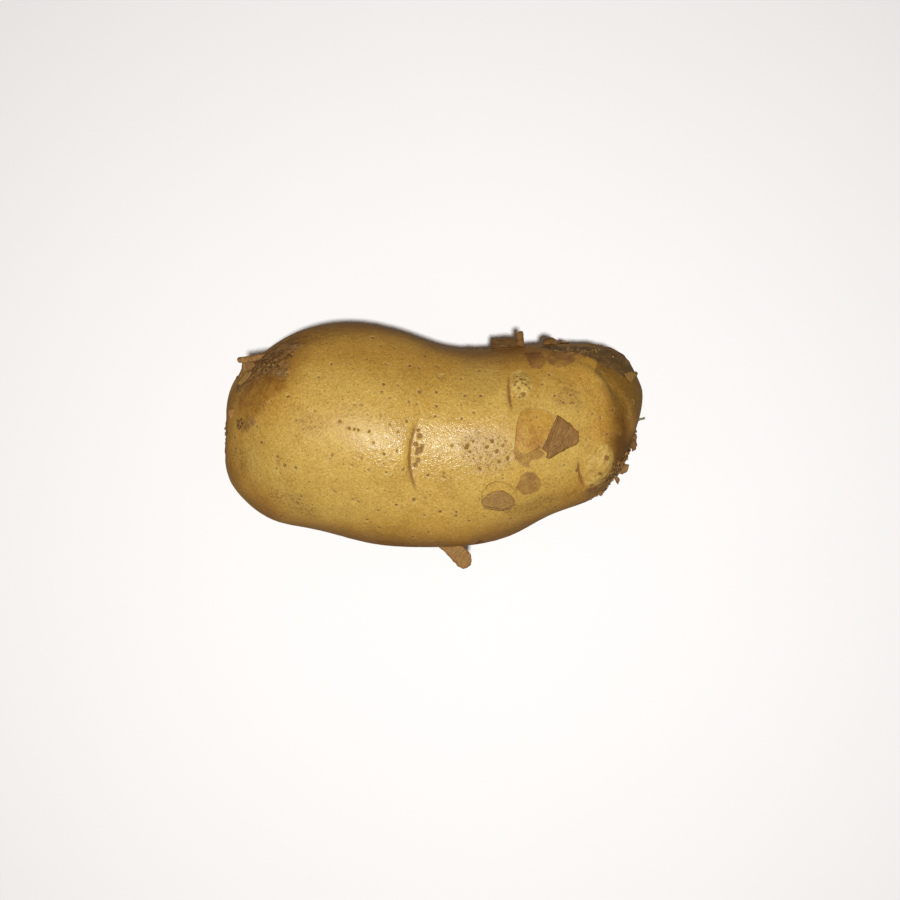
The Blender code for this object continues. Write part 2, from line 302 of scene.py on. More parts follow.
def brow_relief(points, brow):
    """A bowed groove, steep on the stolon side and sloping up to a shallow hollow on the bud's side."""
    distance, fade, here = from_brow(points, *brow)
    groove = hump(distance, np.where(distance < 0, BROW_WALL_WIDTH, BROW_SLOPE_WIDTH))
    ridge = BROW_RIDGE_SHARE * hump(distance + BROW_RIDGE_WIDTH, BROW_RIDGE_WIDTH)
    hollow = BROW_HOLLOW_SHARE * hump(distance - BROW_HOLLOW_WIDTH * 0.7, BROW_HOLLOW_WIDTH)
    return here * brow[4] * fade * (ridge - groove - hollow)


def fold_relief(points):
    """The rose end's fold: the skin outside an arc lies lower than the skin inside it."""
    offset_x, offset_y = points[:, 0] - FOLD_MIDDLE[0], points[:, 1] - FOLD_MIDDLE[1]
    outside = np.hypot(offset_x, offset_y) - FOLD_RADIUS
    angle = np.degrees(np.arctan2(offset_y, offset_x))
    half_span = (FOLD_TO - FOLD_FROM) / 2
    fade = hump(angle - (FOLD_TO + FOLD_FROM) / 2, half_span * 0.75) * (points[:, 2] > GIRTH_RADIUS)
    ridge = FOLD_RIDGE_SHARE * hump(outside + FOLD_WIDTH, FOLD_WIDTH)
    step = -np.clip(outside / FOLD_WIDTH, 0, 1) * hump(np.maximum(outside, 0), FOLD_OUTER_WIDTH)
    return FOLD_DROP * fade * (ridge + step)


def relief(points):
    """How far the real skin stands out from the plain body at these points."""
    height = lumps(points) + fold_relief(points)
    for brow in BROWS.values():
        height += brow_relief(points, brow)
    for along, girth, radius, swell in SWELLINGS:
        onward, turn, here = near(points, (along, girth))
        height += here * swell * hump(np.hypot(onward, turn), radius)
    return height


height = relief(plain)
print("relief from %.2f to %.2f mm" % (height.min(), height.max()))

# %% [markdown]
# ## Zones on the skin
#
# A potato's skin is a patchwork. Where it has torn off, the bare tuber shows, yellow and smooth. Where
# it was rubbed, it is stained brown. At the stolon end and along the rim of the rose end it has turned
# to rough cork. A zone could be painted as an image, but an image has a fixed fineness and needs its
# own map. Here each zone is an outline laid on the skin, and every vertex stores its distance from it:
# below zero inside, above zero outside. A distance changes evenly between vertices, so the material
# can cut a sharp edge at zero, far finer than the mesh, and noise can make the edge ragged.
# Two zones are painted shade, not skin: the sides, ends and underside, and the rose end, are darkened where
# they turn away from the light.

# %% Outlines of the zones
OVAL_POINTS = 24


def oval(half_length, half_width, heading=0.0, uneven=0.12):
    """An uneven oval outline around a spot, turned by heading."""
    angle = np.linspace(0, 2 * math.pi, OVAL_POINTS, endpoint=False)
    swing = 1 + uneven * np.sin(3 * angle + half_length) + uneven * 0.6 * np.sin(5 * angle + half_width)
    x, y = half_length * swing * np.cos(angle), half_width * swing * np.sin(angle)
    aim = math.radians(heading)
    return np.stack((x * math.cos(aim) - y * math.sin(aim), x * math.sin(aim) + y * math.cos(aim)), axis=1)


PEELED_WINDOW = (
    (-1, -5), (0.5, -5.3), (2.1, -5), (3.9, -4.1), (5.4, -3.2), (6.6, -1.8), (4.1, 1.5), (1.1, 4.8),
    (0, 4.4), (-1.8, 4.7), (-3.3, 5.1), (-4.4, 3.9), (-5.2, 3), (-4.3, 0.3), (-2.9, -2.9),
)
PEELED_MOON = (
    (-4.7, 1.6), (-4.1, -1.1), (-2.6, -2.7), (-0.8, -3.3), (1, -2.7), (2.7, -1.4), (3.9, 0.9), (3.9, 2.2),
    (3, 4.2), (-0.7, 4.6), (-4, 3.4),
)
PEELED_BUBBLE = ((-1.1, -0.4), (0, -1.1), (1.1, -1), (0.8, 0.5), (0.1, 1.2), (-0.6, 0.8))
AMBER_STOLON = (
    (-7.6, -3.3), (-5.5, -4.2), (-3.5, -4.9), (-0.5, -5.3), (2.7, -4.9), (5.6, -3.3), (7.2, -2.1),
    (7.3, 0), (4.3, 1.7), (1.5, 2.2), (0.3, 3.9), (-2.1, 4.9), (-5, 4.8), (-7.2, 3.7), (-8.2, 0.8),
    (-8.6, -1.9),
)
BUD_ROSE = (
    (-4, 2.4), (-3.7, -1.1), (-2.1, -4.1), (0.3, -5.6), (3, -5.1), (4.2, -3), (3.8, 0.2), (2.7, 3.4),
    (0.5, 5.7), (-1.8, 5.7),
)
BUD_UPPER = (
    (-1.5, -3.5), (0.3, -4.1), (2, -3.1), (2.7, -0.7), (2.3, 1.9), (0.6, 4), (-1.3, 4), (-2.6, 2.1),
    (-2.4, -0.7),
)
TORN_FRONT = ((-3.4, 1.4), (-1.6, 1.4), (-0.4, -0.6), (0.2, -3.1), (0.9, -1.9), (1.5, 1.4), (2.9, 1.3))
STAIN_BACK = (
    (-3.7, -0.7), (-1.2, -3.8), (1.3, -3.9), (2.7, -2.2), (3.9, -0.3), (2.9, 1.2), (0.2, 2.8),
    (-1.9, 2.9), (-3.5, 1.4),
)
STAIN_BACK_LEFT = ((-1.7, -3.9), (-1.7, -0.4), (-1.6, 2.7), (0.7, 3), (2.5, 0.3), (2.2, -3.6))
STAIN_FRONT = (
    (-1.9, -1.6), (-1, -2.9), (0.7, -3.2), (2, -2.3), (2.7, -0.6), (3, 1.3), (2, 3), (0.2, 2.8),
    (-1.6, 2.5), (-2.5, 1), (-3.1, -0.1),
)
STAIN_STRIP = (
    (-3.2, -2.9), (-2.2, -1.9), (-1, -0.6), (0.1, -0.8), (1.2, -1.4), (2.5, -1.4), (3.5, -0.6),
    (3.9, 0.4), (2.7, 0.9), (1.6, 0.9), (0.1, 1), (-0.4, 1.7), (-0.1, 2.6), (-0.8, 2), (-1.8, 1.1),
    (-2.6, 0.1), (-3.1, -1.3),
)
SMUDGE_STOLON = ((-2, -1.3), (0.3, -1.2), (1.7, 0.4), (0.6, 1.1), (-1.2, 0.6))
SMUDGE_STOLON_BACK = ((-1.8, -1.8), (0.6, -1.2), (2.2, 0.5), (1.4, 1.4), (-0.3, 1.1), (-2, -0.4))
SMUDGE_BACK = (
    (-2.3, -6.2), (-0.7, -4.1), (2, -3.3), (2.8, 0.1), (4.2, 3.2), (2.5, 4.8), (0, 3.2), (-2.6, 3.3),
    (-3.6, 0.8), (-1.5, -1.5),
)
SPECK_FIELD = (
    (-5.4, -3.6), (-2.8, -5.6), (1.7, -4.7), (5.8, -3.3), (7, 0), (5.6, 4.1), (2, 5.7), (-2, 4.3),
    (-5, 1.5), (-6.2, -1.4),
)
CORK_STOLON = (
    (-3.7, -8.1), (2.2, -8.5), (6.3, -7.5), (8.3, -4.6), (6.4, -2.4), (5.1, 0), (6.3, 2.8), (4.1, 5),
    (2.3, 3.9), (0.6, 1.7), (-1.8, 1.7), (-4.9, 1.8), (-8.2, 1.7), (-11.1, 1.3), (-12.6, -1.2),
    (-10.2, -5.9), (-5.5, -4.5),
)
CORK_STOLON_LOW = ((-2.4, -0.8), (1.4, -1.6), (2.7, -0.2), (0.7, 1.3), (-2.8, 1.2))
BAND_BACK = (
    (-10.7, -5.6), (-6.9, -8.4), (-5.2, -5.1), (-1.3, -5.7), (3.6, -5.3), (7.4, -2.4), (11.6, -1.1),
    (12.6, 0.9), (9.7, 3.1), (7.7, 2.4), (4.6, 1.8), (1.4, -0.3), (-1.3, -1.5), (-3.4, -2.1),
    (-5.8, -3.4), (-8.4, -4),
)
CORK_ROSE = (
    (10.6, -0.6), (8.6, 0.1), (5.4, 0.1), (0.5, 0.3), (-2.5, 1.3), (-6, 1.7), (-8.1, 2.6), (-6.8, 5.1),
    (-3.5, 6.5), (-0.9, 4.1), (1.7, 2.5), (5.6, 0.3), (10.9, 1.5),
)
# Each zone's shapes: place along the tuber, girth angle, and the outline seen from there.
ZONES = {
    "gleam": ((1.5, 95, oval(19, 12)),),
    "straw": (
        (-14, 104, oval(32, 18)), (22, 112, oval(14, 12)), (10, 64, oval(12, 9)), (27, 82, oval(8, 8)),
    ),
    "bare": (
        (22.9, 87.5, PEELED_WINDOW), (15.5, 119.8, PEELED_MOON), (1.5, 50.8, PEELED_BUBBLE),
        (-20, 236, oval(4.2, 3.2, 20)), (33, 336, oval(3.6, 2.8, -30)), (2, 300, oval(2.6, 4, 15)),
    ),
    "fresh": ((15.5, 119.8, oval(6, 6)), (1.5, 50.8, oval(2.4, 2.4))),
    "amber": ((-40.7, 66.8, AMBER_STOLON),),
    "stain": (
        (30.8, 36.2, STAIN_BACK), (24.3, 36.8, STAIN_BACK_LEFT), (22.1, 119.8, STAIN_FRONT),
        (22, 102.7, STAIN_STRIP), (-44.4, 58.5, SMUDGE_STOLON), (-36.8, 55.8, SMUDGE_STOLON_BACK),
        (10.8, 170.1, TORN_FRONT), (-46, 10, oval(5, 7)), (-10, 255, oval(7, 4, 30)),
        (40, 200, oval(4, 5, 20)), (-38, 330, oval(5.5, 4.5, -20)),
    ),
    "cork": (
        (-39.2, 48, CORK_STOLON), (-43.7, 85.2, CORK_STOLON_LOW), (33.5, 28.5, oval(3.6, 1.6, -10)),
        (42.6, 134, CORK_ROSE), (-51.9, 95, oval(3.4, 4.2)), (44, 0, oval(6, 4, 10)),
        (49.6, 200, oval(4, 3)), (-49, 350, oval(4.5, 3, 40)), (14, 8, oval(6, 1.6, 8)),
    ),
    "russet": (
        (-27.9, 88.8, oval(2.6, 2.4)), (11.8, 94.6, SPECK_FIELD), (-33.5, 138, oval(6.5, 3.2, 30)),
        (22, 102.7, STAIN_STRIP), (-8, 165, oval(7, 2.4, 4)), (31.9, 68.7, SMUDGE_BACK),
        (24, 140, oval(9, 2.6, 12)), (-47.5, 118, oval(3.5, 6, 10)), (-30, 30, oval(8, 3, -6)),
        (12, 268, oval(9, 6, 30)), (-28, 250, oval(6, 4, -20)), (30, 290, oval(5, 6, 10)),
    ),
    # Painted shade: the sides, the ends and the underside, darkened where they turn away from the light.
    "tan": (
        (47, 130, oval(6, 8)), (-38.5, 37, oval(10, 8)), (-51.5, 95, oval(3, 16)),
        (-42, 160, oval(6, 5, 30)), (-20, 12, oval(26, 6)), (20, 20, oval(22, 5)), (0, 178, oval(40, 11)),
        (40, 190, oval(14, 10)), (0, 270, oval(30, 12)),
    ),
    "band": ((37.4, 35.8, BAND_BACK), (46, 8, oval(5.5, 5))),
    "bud": ((20.7, 55.2, BUD_UPPER), (39.3, 125.9, BUD_ROSE)),
    # Painted shade: the rose end, darkened where it turns away from the light.
    "painted_end_shade": (
        (52, 102, oval(9, 22)), (52.5, 66, oval(5, 20)), (45.5, 84, oval(3, 7)), (46, 142, oval(6, 8)),
    ),
    "nubble": (
        (-22.4, 202, oval(2, 2.6, 0, 0.06)), (-12.4, 343, oval(2.1, 2.7, 0, 0.06)),
        (11.4, 233, oval(2, 2.5, 0, 0.06)), (31.4, 320, oval(2, 2.6, 0, 0.06)),
        (40, 231, oval(1.8, 2.2, 0, 0.06)), (48.4, 346, oval(1.8, 2, 0, 0.06)),
    ),
}
# Millimetres: no distance is stored beyond the first, and a zone's spot sees no skin deeper than the second.
FAR = 9.0
ZONE_REACH = 10.0


def distance_inside(points, outline):
    """Distance in millimetres from each point to a closed outline, below zero inside it."""
    inside = np.zeros(len(points), bool)
    nearest = np.full(len(points), FAR)
    for start, end in zip(outline, np.roll(outline, -1, axis=0)):
        edge = end - start
        offset = points - start
        share = np.clip(offset @ edge / (edge @ edge), 0, 1)
        nearest = np.minimum(nearest, np.linalg.norm(offset - share[:, None] * edge, axis=1))
        rise = edge[1] if edge[1] else 1e-9
        crossing = start[0] + offset[:, 1] * edge[0] / rise > points[:, 0]
        inside ^= ((start[1] > points[:, 1]) != (end[1] > points[:, 1])) & crossing
    return np.where(inside, -nearest, nearest)


def zone_distance(points, shapes):
    """Distance from the nearest outline of a zone."""
    total = np.full(len(points), FAR)
    for along, girth, outline in shapes:
        onward, turn, here = near(points, (along, girth), ZONE_REACH)
        around = np.array(outline)
        close = here & (np.hypot(onward, turn) < np.linalg.norm(around, axis=1).max() + FAR)
        flat = np.stack((onward, turn), axis=1)[close]
        total[close] = np.minimum(total[close], distance_inside(flat, around))
    return total


zones = {name: zone_distance(plain, shapes) for name, shapes in ZONES.items()}
for name, distance in zones.items():
    print("%-7s covers %4.1f %% of the skin" % (name, 100 * np.mean(distance < 0)))

# %% [markdown]
# ## Pores
#
# The skin breathes through pores: dark, slightly sunken dots, about as wide as a grain of coarse salt.
# Dots of one size in even rows would look printed, so over a hundred are placed one by one, where they
# form the loose chains of a real skin, and more are strewn with a seeded draw that keeps them apart. Each
# vertex stores the arrow from its nearest pore. Between vertices an arrow changes as evenly as a
# distance does, so the material draws each pore as a round dot, finer than the mesh could hold.

# %% Strew the pores
PORE_SEED = 21
PORE_COUNT = 230
PORE_GAP = 3.6
PORE_RADIUS = (0.26, 0.46)
# Place along the tuber, girth angle and radius of pores and scabs that stand out.
PLACED_PORES = (
    (-12.5, 36.8, 0.38), (-9.3, 36.5, 0.38), (-15.6, 50, 0.36), (-11.2, 50.8, 0.42), (-5.7, 48, 0.4),
    (-3.5, 48, 0.38), (-2.1, 37, 0.34), (0.6, 43.5, 0.36), (5.2, 37.2, 0.36), (10.7, 44, 0.36),
    (6.4, 51.2, 0.4), (-11.6, 64, 0.42), (-8.2, 62.8, 0.4), (-11.9, 68.5, 0.4), (-10.2, 70.8, 0.44),
    (-3.3, 63.8, 0.6), (0.5, 62, 0.44), (-3.9, 71.2, 0.42), (0.6, 70, 0.44), (-5.7, 70.5, 0.38),
    (7.3, 62.5, 0.44), (10.9, 62.5, 0.38), (13, 67.5, 0.36), (9.3, 72.2, 0.48), (0.3, 75.8, 0.4),
    (6.4, 75.8, 0.4), (-18.2, 77.5, 0.44), (-16.5, 77, 0.44), (-12.1, 80.5, 0.46), (-6.2, 81, 0.44),
    (-10, 84.2, 0.42), (-8.2, 87, 0.42), (-19.4, 89, 0.42), (-18.2, 89, 0.42), (-17.2, 89.2, 0.4),
    (-14.7, 89.2, 0.4), (-13.7, 94.2, 0.42), (-11.4, 98.8, 0.42), (-8.4, 96.5, 0.38), (-16.5, 102.5, 0.4),
    (-19.4, 54.5, 0.36), (-18.7, 106.8, 0.44), (-14.9, 107.8, 0.42), (-10.9, 108, 0.4), (-7, 105.5, 0.46),
    (-15.4, 118.7, 0.4), (-19, 126.5, 0.4), (-17.8, 127.5, 0.4), (-1.9, 120.8, 0.44), (-4.6, 122, 0.62),
    (-8.7, 126, 0.46), (2.4, 105.8, 0.48), (2.4, 108, 0.44), (4.4, 90.2, 0.48), (7.5, 91, 0.62),
    (10.7, 103.2, 0.56), (1.5, 129, 0.44), (5.3, 129.5, 0.44), (5.2, 132.2, 0.4), (-1.4, 144.8, 0.4),
    (-2.3, 131.8, 0.38), (-13.2, 131.2, 0.4), (-16, 139.5, 0.38), (-5.2, 150, 0.42), (-21.4, 86.2, 0.56),
    (-23.3, 103, 0.4), (-24, 105.2, 0.36), (-36.5, 105.5, 0.5), (-34.9, 110.8, 0.56), (-37.1, 113, 0.44),
    (-32.2, 111.8, 0.52), (-36.2, 116, 0.36), (-31.5, 130.8, 0.44), (-3.5, 84.5, 0.56),
    (-3.2, 87.2, 0.74), (-4.1, 91.8, 0.72), (-3.2, 94.5, 1.05), (-3.5, 100, 0.76), (-4.3, 102.8, 0.62),
    (-2.6, 92.2, 0.56), (-3.9, 96.5, 0.6), (19, 48, 0.34), (19.7, 50.3, 0.36), (20.5, 53.5, 0.42),
    (39.6, 113.2, 0.36), (40.7, 118.5, 0.8), (39.1, 129, 0.62), (38, 140.8, 0.7), (40.2, 137.2, 0.55),
    (41.9, 146, 0.75), (42.3, 138.2, 0.6), (42.8, 130.5, 0.5), (45.6, 137.8, 0.6), (40, 88.5, 0.45),
    (38, 84.8, 0.42), (41.4, 101.8, 0.36), (36.3, 102, 0.36), (34, 123, 0.6), (20.9, 63.5, 0.8),
    (19.4, 54.5, 0.4), (19, 56.8, 0.34), (20.9, 56.5, 0.44), (21.7, 58, 0.36), (19.9, 59, 0.4),
    (21.4, 54, 0.34), (22.2, 55.8, 0.34), (20, 64.8, 0.4), (22.5, 60.5, 0.34), (-34.2, 124.5, 0.3),
    (-29, 119.8, 0.3), (7.8, 89.8, 0.5), (9.1, 87.8, 0.4), (12.3, 91.5, 0.52), (13.5, 88.5, 0.54),
    (14.6, 94.5, 0.52), (10.9, 97, 0.45), (16, 91.8, 0.4), (17.2, 99.8, 0.54), (8.4, 93.5, 0.4),
    (15.1, 100.8, 0.5), (27.5, 51, 0.4), (25.7, 58.5, 0.4), (32.6, 68.8, 0.45), (30.8, 73.8, 0.4),
    (28.7, 68, 0.4),
)


def spot_point(along, girth_deg):
    """The point of the plain body at a spot."""
    return section_point(along, roundness(np.array(along)), math.radians(girth_deg))


def strew_pores():
    """The placed pores and the strewn ones: a row of centre and radius for each."""
    draw = np.random.default_rng(PORE_SEED)
    rows = [np.append(spot_point(along, girth), radius) for along, girth, radius in PLACED_PORES]
    placed = len(rows)
    while len(rows) < placed + PORE_COUNT:
        centre = plain[draw.integers(len(plain))]
        if min(np.linalg.norm(row[:3] - centre) for row in rows) > PORE_GAP:
            rows.append(np.append(centre, draw.uniform(*PORE_RADIUS)))
    return np.array(rows)


def nearest_rows(points, centres):
    """For each point, which of the centres is nearest."""
    tree = kdtree.KDTree(len(centres))
    for index, centre in enumerate(centres):
        tree.insert(centre, index)
    tree.balance()
    return np.array([tree.find(point)[1] for point in points])


pores = strew_pores()
nearest_pore = nearest_rows(plain, pores[:, :3])
pore_arrow = plain - pores[nearest_pore, :3]
pore_radius = pores[nearest_pore, 3]
print("pores", len(pores), "radius %.2f to %.2f mm" % (pores[:, 3].min(), pores[:, 3].max()))

# %% [markdown]
# ## The fine relief
#
# Now the skin gets its own relief on top of the form: pits at the pores, a sharp line in each brow, a
# step down where the skin is peeled, a rough crust in the cork, folds and grains on the buds, and a
# faint puckering all over, which is what breaks up the shine. Each is a height again. The noise has to be
# read point by point, so the rough kinds are read only where their zone is.

# %% Add the fine relief and write the skin
# Heights and lump sizes in millimetres. An edge is where a zone's relief is whole and where it ends.
PEEL_STEP = 0.10
PEEL_EDGE = (-0.25, 0.15)
CORK_STEP = 0.14
CORK_ROUGHNESS = 0.24
CORK_LUMP = 1.6
CORK_EDGE = (-0.4, 0.4)
NUBBLE_HEIGHT = 0.30
NUBBLE_LUMP = 0.8
NUBBLE_EDGE = (-0.8, 0.6)
PORE_DEPTH = 0.16
PUCKER_HEIGHT = 0.035
PUCKER_LUMP = 1.5
BUD_FOLDS = (38.7, 121.0)
BUD_FOLD_HEIGHT = 0.17
BUD_FOLD_STEP = 1.15
BUD_FOLD_REACH = 3.0
CREASE_DEPTH = 0.14
CREASE_WIDTH = 0.28


def ramp(value, low, high):
    """Rises smoothly from 0 at low to 1 at high."""
    share = np.clip((value - low) / (high - low), 0, 1)
    return share * share * (3 - 2 * share)


def rough(points, size, octaves=3, where=None):
    """Cloudy noise from about -1 to 1 with lumps of this size in millimetres, read where it is needed."""
    total = np.zeros(len(points))
    rows = range(len(points)) if where is None else np.nonzero(where)[0]
    for row in rows:
        total[row] = noise.fractal(Vector(points[row] / size), 0.9, 2.1, octaves)
    return total


def nearest_crease(points):
    """Signed distance from the nearest brow's line, and how much of that brow is left here."""
    distance = np.full(len(points), FAR)
    strength = np.zeros(len(points))
    for brow in BROWS.values():
        across, fade, here = from_brow(points, *brow)
        fade *= min(1.0, brow[4] / 0.6)
        nearer = np.abs(across) + 6 * (1 - fade) < np.abs(distance) + 6 * (1 - strength)
        closer = here & nearer & (fade > 0.05)
        distance[closer] = across[closer]
        strength[closer] = fade[closer]
    return distance, strength


crease, crease_strength = nearest_crease(plain)
in_cork = 1 - ramp(zones["cork"], *CORK_EDGE)
in_nubble = 1 - ramp(zones["nubble"], *NUBBLE_EDGE)
pore_distance = np.linalg.norm(pore_arrow, axis=1)
height += -PEEL_STEP * (1 - ramp(zones["bare"], *PEEL_EDGE))
height += in_cork * (CORK_STEP + CORK_ROUGHNESS * rough(plain, CORK_LUMP, 4, in_cork > 0))
height += in_nubble * NUBBLE_HEIGHT * rough(plain, NUBBLE_LUMP, 2, in_nubble > 0)
height -= PORE_DEPTH * hump(pore_distance, pore_radius * 1.1) * (1 - in_nubble)
height -= CREASE_DEPTH * crease_strength**2 * hump(crease, CREASE_WIDTH)
height += PUCKER_HEIGHT * rough(plain, PUCKER_LUMP, 2)
onward, turn, here = near(plain, BUD_FOLDS)
fold_line = (0.75 * onward + 0.66 * turn + 0.35 * np.sin(0.9 * turn)) * 2 * math.pi / BUD_FOLD_STEP
bud_fold = BUD_FOLD_HEIGHT * hump(np.hypot(onward, turn * 0.8), BUD_FOLD_REACH)
height += here * bud_fold * np.cos(fold_line)
finished = plain + outward * height[:, None]
finished[:, 2] = np.maximum(finished[:, 2], 0.0)
move_points(skin.data, finished)
skin.data.shade_smooth()
skin_tree = BVHTree.FromPolygons(
    [Vector(point) for point in finished], [polygon.vertices[:] for polygon in skin.data.polygons]
)
print("fine relief from %.2f to %.2f mm" % (height.min(), height.max()))


# %% Store what the material needs
def store(mesh, name, values):
    """Writes one number or one arrow for each vertex under this name."""
    kind = "FLOAT" if values.ndim == 1 else "FLOAT_VECTOR"
    layer = mesh.attributes.new(name, kind, "POINT")
    layer.data.foreach_set("value" if kind == "FLOAT" else "vector", values.astype(np.float32).ravel())


for name, distance in zones.items():
    store(skin.data, name, distance)
store(skin.data, "pore_arrow", pore_arrow)
store(skin.data, "pore_distance", pore_distance)
store(skin.data, "pore_radius", pore_radius)
store(skin.data, "crease", crease)
store(skin.data, "crease_strength", crease_strength)
print("stored:", ", ".join(layer.name for layer in skin.data.attributes if not layer.name.startswith(".")))

# %% [markdown]
# ## Loose skin
#
# Young potatoes shed their skin like a sunburn. A scrap hangs on by one side, stands off the tuber,
# and curls as it dries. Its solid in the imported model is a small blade, thick enough to be sound. Here
# each blade becomes a sheet 0.15 mm thick, from the same numbers, with a torn edge and
# crinkles. A sheet could be grown by a cloth simulation, but a bent grid with a little noise gives the
# same look, and its shape stays under control.

# %% Fill an outline with fine triangles
FILL_SPACING = 0.30
EDGE_SHAKE = 0.11


def wavy(values, seed):
    """A cheap uneven wave along a row of numbers, from about -1 to 1."""
    return np.array([noise.noise(Vector((value, seed, 0.5))) for value in values]) * 1.6


def fill_outline(outline, seed):
    """Fine triangles inside an outline, whose sides are split and shaken a little."""
    rim = []
    for start, end in zip(outline, np.roll(outline, -1, axis=0)):
        steps = max(2, int(np.linalg.norm(end - start) / FILL_SPACING))
        rim += [start + (end - start) * step / steps for step in range(steps)]
    rim = np.array(rim)
    shake = np.stack((wavy(rim.sum(axis=1) * 1.7, seed), wavy(rim @ (1.3, -1.9), seed + 5)), axis=1)
    rim += EDGE_SHAKE * shake
    low, high = rim.min(axis=0), rim.max(axis=0)
    grid = np.mgrid[low[0]:high[0]:FILL_SPACING, low[1]:high[1]:FILL_SPACING].reshape(2, -1).T
    grid = grid[distance_inside(grid, rim) < -0.6 * FILL_SPACING]
    sides = [(index, (index + 1) % len(rim)) for index in range(len(rim))]
    corners = [Vector(point) for point in np.vstack((rim, grid))]
    found = geometry.delaunay_2d_cdt(corners, sides, [], 1, 1e-6)
    return np.array([tuple(point) for point in found[0]]), found[2]


# %% Scraps that stand off the tuber
# Root as place along and girth angle, heading seen from above, rise, bend, cup, paleness, and the
# outline as steps ahead and across. A paleness below zero darkens a scrap as painted shade.
SCRAPS = {
    "stolon_flap": ((-42.3, 27.8), 191, 2, 0.3, -0.3, 0.2, (
        (5.8, -1), (5, -1), (3.8, -0.9), (2.2, -0.9), (-0.6, -0.8), (-1.5, -0.4), (-0.2, 0.2), (0.6, 0.5),
        (1.6, 0.6), (2.3, 1), (3.8, 0.9), (5.3, 0.5), (5.8, 0.2), (6, -0.4),
    )),
    "stolon_web": ((-44.6, 33.5), 200, -10, 0.2, 0.2, -0.1, (
        (1.9, -2.3), (0.8, -1.8), (-0.8, -1.4), (-1, 0.1), (0.4, 1.1), (2.3, 1.7), (4.2, 2.3), (4.7, 1.6),
        (3.7, 0.4), (2.7, -0.8),
    )),
    "stolon_edge_scale": ((-48.8, 74), 185, 12, 0.2, 0.3, 0.3, (
        (1, -0.6), (0.7, -1.1), (0.2, -1.3), (-0.9, -1.6), (-1.1, -0.4), (-0.9, 0.7), (0.2, 1.4),
        (0.7, 1.1), (1.1, 0.6),
    )),
    "back_strip": ((17.3, 6.2), 90, 24, 0.3, 0.2, -0.85, (
        (-0.4, 3.2), (2.1, 3.1), (2.3, 2.4), (2.4, 0.8), (2.6, -0.9), (2.5, -2.9), (2.4, -3.9),
        (-0.6, -4.2), (-0.9, -2.7), (-0.8, -0.5), (-0.6, 1.3),
    )),
    "back_upright": ((21.4, 6.2), 92, 46, -0.6, 0.5, -0.25, (
        (4.1, 1), (4.5, 0.3), (4.3, -0.6), (3.2, -0.8), (1.9, -0.8), (-0.4, -1.2), (-1, -0.1),
        (-0.5, 1.3), (1.2, 0.9), (2, 0.8), (3, 0.9),
    )),
    "back_scale": ((29.1, 6.2), 90, 26, 0.3, 0.3, -0.6, (
        (-0.4, 2.1), (0.8, 2), (1.3, 1.8), (1.9, 0.7), (1.8, -0.4), (1, -1.5), (-0.4, -2.1), (-0.9, -1.3),
        (-1, -0.5), (-0.8, 1.3),
    )),
    "front_tongue": ((4.3, 174), 321, -6, 0.5, 0.7, 0.3, (
        (-2.5, -2.2), (-1.7, 0.2), (1, 1.6), (2.4, 1.7), (3.8, 1.6), (5, 1.3), (5.8, 0.6), (6.4, -0.6),
        (6.2, -1.7), (5.6, -2.5), (4.3, -2.9), (3.3, -2.7), (2.2, -2.8), (1.1, -2.4), (-0.4, -2.3),
    )),
    "rose_scale_1": ((48.8, 147), 330, 8, 0.2, 0.2, -0.4, (
        (-1, 1.2), (-0.1, 2), (0.4, 1.4), (0.8, 0.4), (1.5, -0.3), (1.6, -1.7), (1.2, -2.3), (-0.3, -1.1),
    )),
    "rose_scale_2": ((46.3, 162.8), 325, 4, -0.3, 0.4, -0.05, (
        (-0.9, 0.6), (0, 1.2), (1.3, 1.5), (1.7, 0.7), (2, 0), (1.3, -1.4), (0.4, -1.8), (-0.8, -0.8),
    )),
    "rose_scale_3": ((44.8, 166), 310, -4, 0.2, 0.2, -0.1, (
        (-0.6, -0.4), (-0.5, 0.4), (0.5, 0.7), (1.4, 0.4), (1.9, -0.6), (1, -0.5),
    )),
    "rose_scale_4": ((40.4, 159), 300, 0, 0.1, 0.2, 0, (
        (-0.6, -0.6), (-0.6, 0.4), (0.4, 1), (1, 0.5), (1.2, -0.1), (0.7, -0.3),
    )),
    "under_scale": ((-20, 238), 250, -14, 0.6, -0.4, 0.4, (
        (-0.8, -2.2), (1, -2), (2.8, -1.4), (4.2, -0.2), (4, 0.9), (2.4, 1.8), (0.6, 2.1), (-0.9, 1.8),
    )),
    "back_under_scale": ((33, 338), 60, -8, 0.4, 0.5, 0.3, (
        (-0.8, -2), (0.8, -2.3), (2.2, -1.4), (3.2, 0.4), (2.6, 1.6), (1, 2.2), (-0.8, 1.9),
    )),
}
CRINKLE_SIZE = 1.1
SCRAP_CRINKLE = 0.16
SHEET_THICKNESS = 0.15
# A scrap's torn edge darkens: partly its own colour, partly painted shadow under the curl.
EDGE_DARK_AND_SHADOW = 0.45
EDGE_WIDTH = 0.32
# How far outside the skin a ray starts that looks for it.
RAY_START = 8.0
sheet_parts = []


def skin_point(along, girth):
    """The finished skin's point at a spot, with the way out, the way to the rose end and the way round."""
    point, out, onward, turn = surface_frame(along, girth)
    hit = skin_tree.ray_cast(Vector(point + out * RAY_START), Vector(-out))[0]
    return np.array(hit), out, onward, turn


def dark_edge_and_shadow(flat, outline, pale):
    """Paleness of a scrap's points: a torn edge is darker than the rest, partly its own colour and partly
    painted shadow where it curls off the skin.
    """
    uneven = 0.5 + 0.5 * wavy(flat.sum(axis=1) * 0.9, 3.0)
    return pale - EDGE_DARK_AND_SHADOW * uneven * hump(distance_inside(flat, outline), EDGE_WIDTH)


